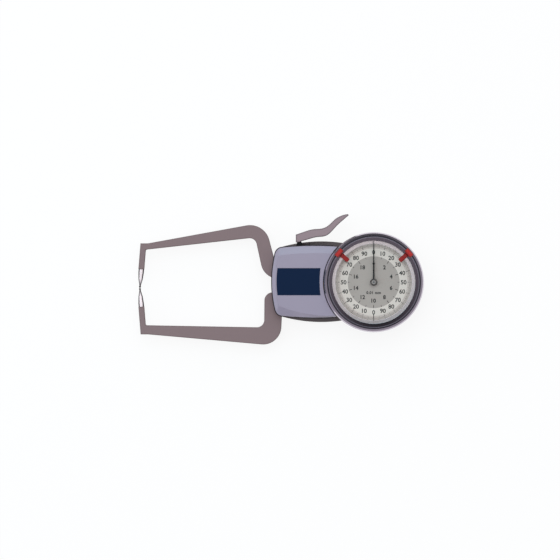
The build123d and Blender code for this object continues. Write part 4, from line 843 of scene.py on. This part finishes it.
class GAUGE_OT_dial(bpy.types.Operator):
    """Dial plate with its coloured rings, graduations, numbers and unit"""
    bl_idname = "gauge.dial"
    bl_label = "Dial"

    def execute(self, context):
        dial = context.scene.gauge_dial
        colours = context.scene.gauge_colours
        bands = [(dial.disc_radius, colours.disc), (dial.ring_radius, colours.ring),
                 (dial.tick_radius, colours.tick_zone), (math.inf, colours.dial_edge)]
        finish(banded("Dial enamel", bands, 0.55, softness=0.00004), "dial_plate")
        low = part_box("dial_plate")[1].z
        high = low + dial.print_depth
        ink = moulded("Dial ink", colours.ink, roughness=0.5, edge=0.0)
        bars = self.graduations(dial, context.scene.gauge_bars, low, high)
        new_piece("dial_graduations", *bars, ink, "bezel", "dial_enamel")
        new_piece("dial_numbers", *self.numbers(dial, low, high), ink, "bezel", "dial_enamel")
        pale = banded("Flange enamel", [(math.inf, colours.dial_edge)], 0.2, metallic=0.62)
        new_piece("dial_flange", *self.flange(dial, context.scene.gauge_trim, low), pale, "bezel",
                  "carrier_alloy")
        return {"FINISHED"}

    def flange(self, dial, trim, low):
        """Pale half-polished ring round the graduations, turned about the Z axis from a closed section
        that rises gently from the dial towards its edge."""
        foot = dial.tick_radius + trim.flange_gap
        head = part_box("dial_plate")[1].x - trim.flange_inset
        base = low + trim.flange_lift
        top = low + trim.flange_rise
        corners = [(foot, base), (head, base), (head, top), (head - trim.flange_land, top)]
        return turned(rounded(corners, np.array([0.05, 0.05, 0.08, 0.1]) * MM))

    def graduations(self, dial, bars, low, high):
        """Radial bars at even angles: every tenth the longest and widest, every fifth between. Inside
        them stand the marks of the small scale, and one long bar stands at the foot."""
        index = np.arange(dial.divisions)
        tenth = index % 10 == 0
        fifth = index % 5 == 0
        start = np.where(tenth, bars.tenth_start, np.where(fifth, bars.fifth_start, bars.plain_start))
        width = np.where(tenth, bars.tenth_width, np.where(fifth, bars.fifth_width, bars.plain_width))
        large = printed_bars(2 * np.pi * index / dial.divisions, dial.ring_radius + start,
                             dial.tick_radius, width, low, high)
        mark = np.arange(dial.scale_top)
        even = mark % 2 == 0
        reach = np.where(even, bars.even_length, bars.odd_length)
        small = printed_bars(2 * np.pi * mark / dial.scale_top, dial.disc_radius - reach,
                             dial.disc_radius, np.where(even, bars.even_width, bars.odd_width), low, high)
        foot = printed_bars(np.array([np.pi]), bars.index_inner, bars.index_outer, bars.index_width,
                            low, high)
        return joined([large, small, foot])

    def numbers(self, dial, low, high):
        """Upright numbers, each centred on its circle at its angle, clockwise from the top."""
        parts = []
        depth = high - low
        for step in range(dial.large_numbers):
            parts.append(self.placed(str(step % 10 * 10), dial.number_height, depth, dial.number_radius,
                                     2 * math.pi * step / dial.large_numbers, low))
        for reading in range(2, dial.scale_top, 2):
            parts.append(self.placed(str(reading), dial.small_height, depth,
                                     dial.small_radius, 2 * math.pi * reading / dial.scale_top, low,
                                     weight=0.032))
        parts.append(self.placed("0.01 mm", dial.unit_height, depth, dial.unit_radius, math.pi, low,
                                 spacing=1.1, weight=0.035))
        return joined(parts)

    def placed(self, words, height, depth, radius, angle, low, spacing=1.0, weight=0.024):
        """A word centred on a circle round the Z axis, at an angle clockwise from the top."""
        points, faces = lettering(words, height, depth, weight, spacing)
        return points + np.array([radius * math.sin(angle), radius * math.cos(angle), low]), faces


class GAUGE_OT_hands(bpy.types.Operator):
    """Black hands and the turned hub"""
    bl_idname = "gauge.hands"
    bl_label = "Hands"

    def execute(self, context):
        black = painted("Hand black", context.scene.gauge_colours.hand, roughness=0.45, edge=0.0,
                        grain_scale=6000.0, specular=0.15)
        finish(black, "long_hand", "short_hand")
        trim = context.scene.gauge_trim
        # The bright band is a painted highlight; outside it the hub turns darker towards its edge
        bands = [(trim.hub_pin, linear(34, 31, 30)), (trim.hub_face, linear(158, 151, 147)),
                 (trim.hub_edge, linear(112, 105, 102)), (math.inf, linear(66, 60, 57))]
        finish(banded("Hub steel", bands, 0.4, metallic=0.3), "hub_cap")
        return {"FINISHED"}


class GAUGE_OT_markers(bpy.types.Operator):
    """Red tolerance markers"""
    bl_idname = "gauge.markers"
    bl_label = "Markers"

    def execute(self, context):
        colours = context.scene.gauge_colours
        # Painted shade: the markers' edges, steep sides and fingers are darkened
        finish(painted("Marker red", colours.marker, roughness=0.3, edge=0.8, edge_radius=0.0006, side_shade=0.5,
                       shade_radius=context.scene.gauge_trim.finger_radius), "marker_left", "marker_right")
        return {"FINISHED"}


class GAUGE_OT_movement(bpy.types.Operator):
    """Brass, steel and blued finishes of the movement inside"""
    bl_idname = "gauge.movement"
    bl_label = "Movement"

    def execute(self, context):
        finish(painted("Movement brass", linear(196, 160, 92), roughness=0.3, metallic=1.0, edge=0.2,
                       edge_radius=0.0002), "lower_plate", "upper_plate", "pillars", "transfer_wheel",
               "motion_wheel", "hour_wheel", "sector_gear")
        finish(turned_metal("Arbor steel", linear(176, 176, 180), roughness=0.25), "transfer_arbor",
               "centre_arbor", "arm_shaft", "spring_pin", "lower_bearing", "upper_bearing")
        finish(painted("Blued spring", linear(60, 72, 110), roughness=0.3, metallic=0.9, edge=0.1,
                       edge_radius=0.0001), "return_spring", "hairspring")
        return {"FINISHED"}


class GAUGE_PT_panel(bpy.types.Panel):
    """The gauge's settings and the steps that make it"""
    bl_idname = "GAUGE_PT_panel"
    bl_label = "Dial caliper gauge"
    bl_space_type = "VIEW_3D"
    bl_region_type = "UI"
    bl_category = "Gauge"

    def draw(self, context):
        for maker in OPERATORS:
            self.layout.operator(maker.bl_idname)
        scene = context.scene
        for group in (scene.gauge_dial, scene.gauge_bars, scene.gauge_trim, scene.gauge_colours,
                      scene.gauge_stage):
            box = self.layout.box()
            for key in group.__annotations__:
                box.prop(group, key)


SETTINGS = (GaugeDialSettings, GaugeBarSettings, GaugeTrimSettings, GaugeColourSettings,
            GaugeStageSettings)
OPERATORS = (GAUGE_OT_stage, GAUGE_OT_housing, GAUGE_OT_arms, GAUGE_OT_contacts, GAUGE_OT_bezel,
             GAUGE_OT_dial, GAUGE_OT_hands, GAUGE_OT_markers, GAUGE_OT_movement)
CLASSES = (*SETTINGS, *OPERATORS, GAUGE_PT_panel)


def register():
    for cls in CLASSES:
        bpy.utils.register_class(cls)
    bpy.types.Scene.gauge_dial = bpy.props.PointerProperty(type=GaugeDialSettings)
    bpy.types.Scene.gauge_bars = bpy.props.PointerProperty(type=GaugeBarSettings)
    bpy.types.Scene.gauge_trim = bpy.props.PointerProperty(type=GaugeTrimSettings)
    bpy.types.Scene.gauge_colours = bpy.props.PointerProperty(type=GaugeColourSettings)
    bpy.types.Scene.gauge_stage = bpy.props.PointerProperty(type=GaugeStageSettings)


def unregister():
    del bpy.types.Scene.gauge_stage
    del bpy.types.Scene.gauge_colours
    del bpy.types.Scene.gauge_trim
    del bpy.types.Scene.gauge_bars
    del bpy.types.Scene.gauge_dial
    for cls in reversed(CLASSES):
        bpy.utils.unregister_class(cls)


def main():
    register()
    for maker in OPERATORS:
        group, action = maker.bl_idname.split(".")
        getattr(getattr(bpy.ops, group), action)()


if __name__ == "__main__":
    main()
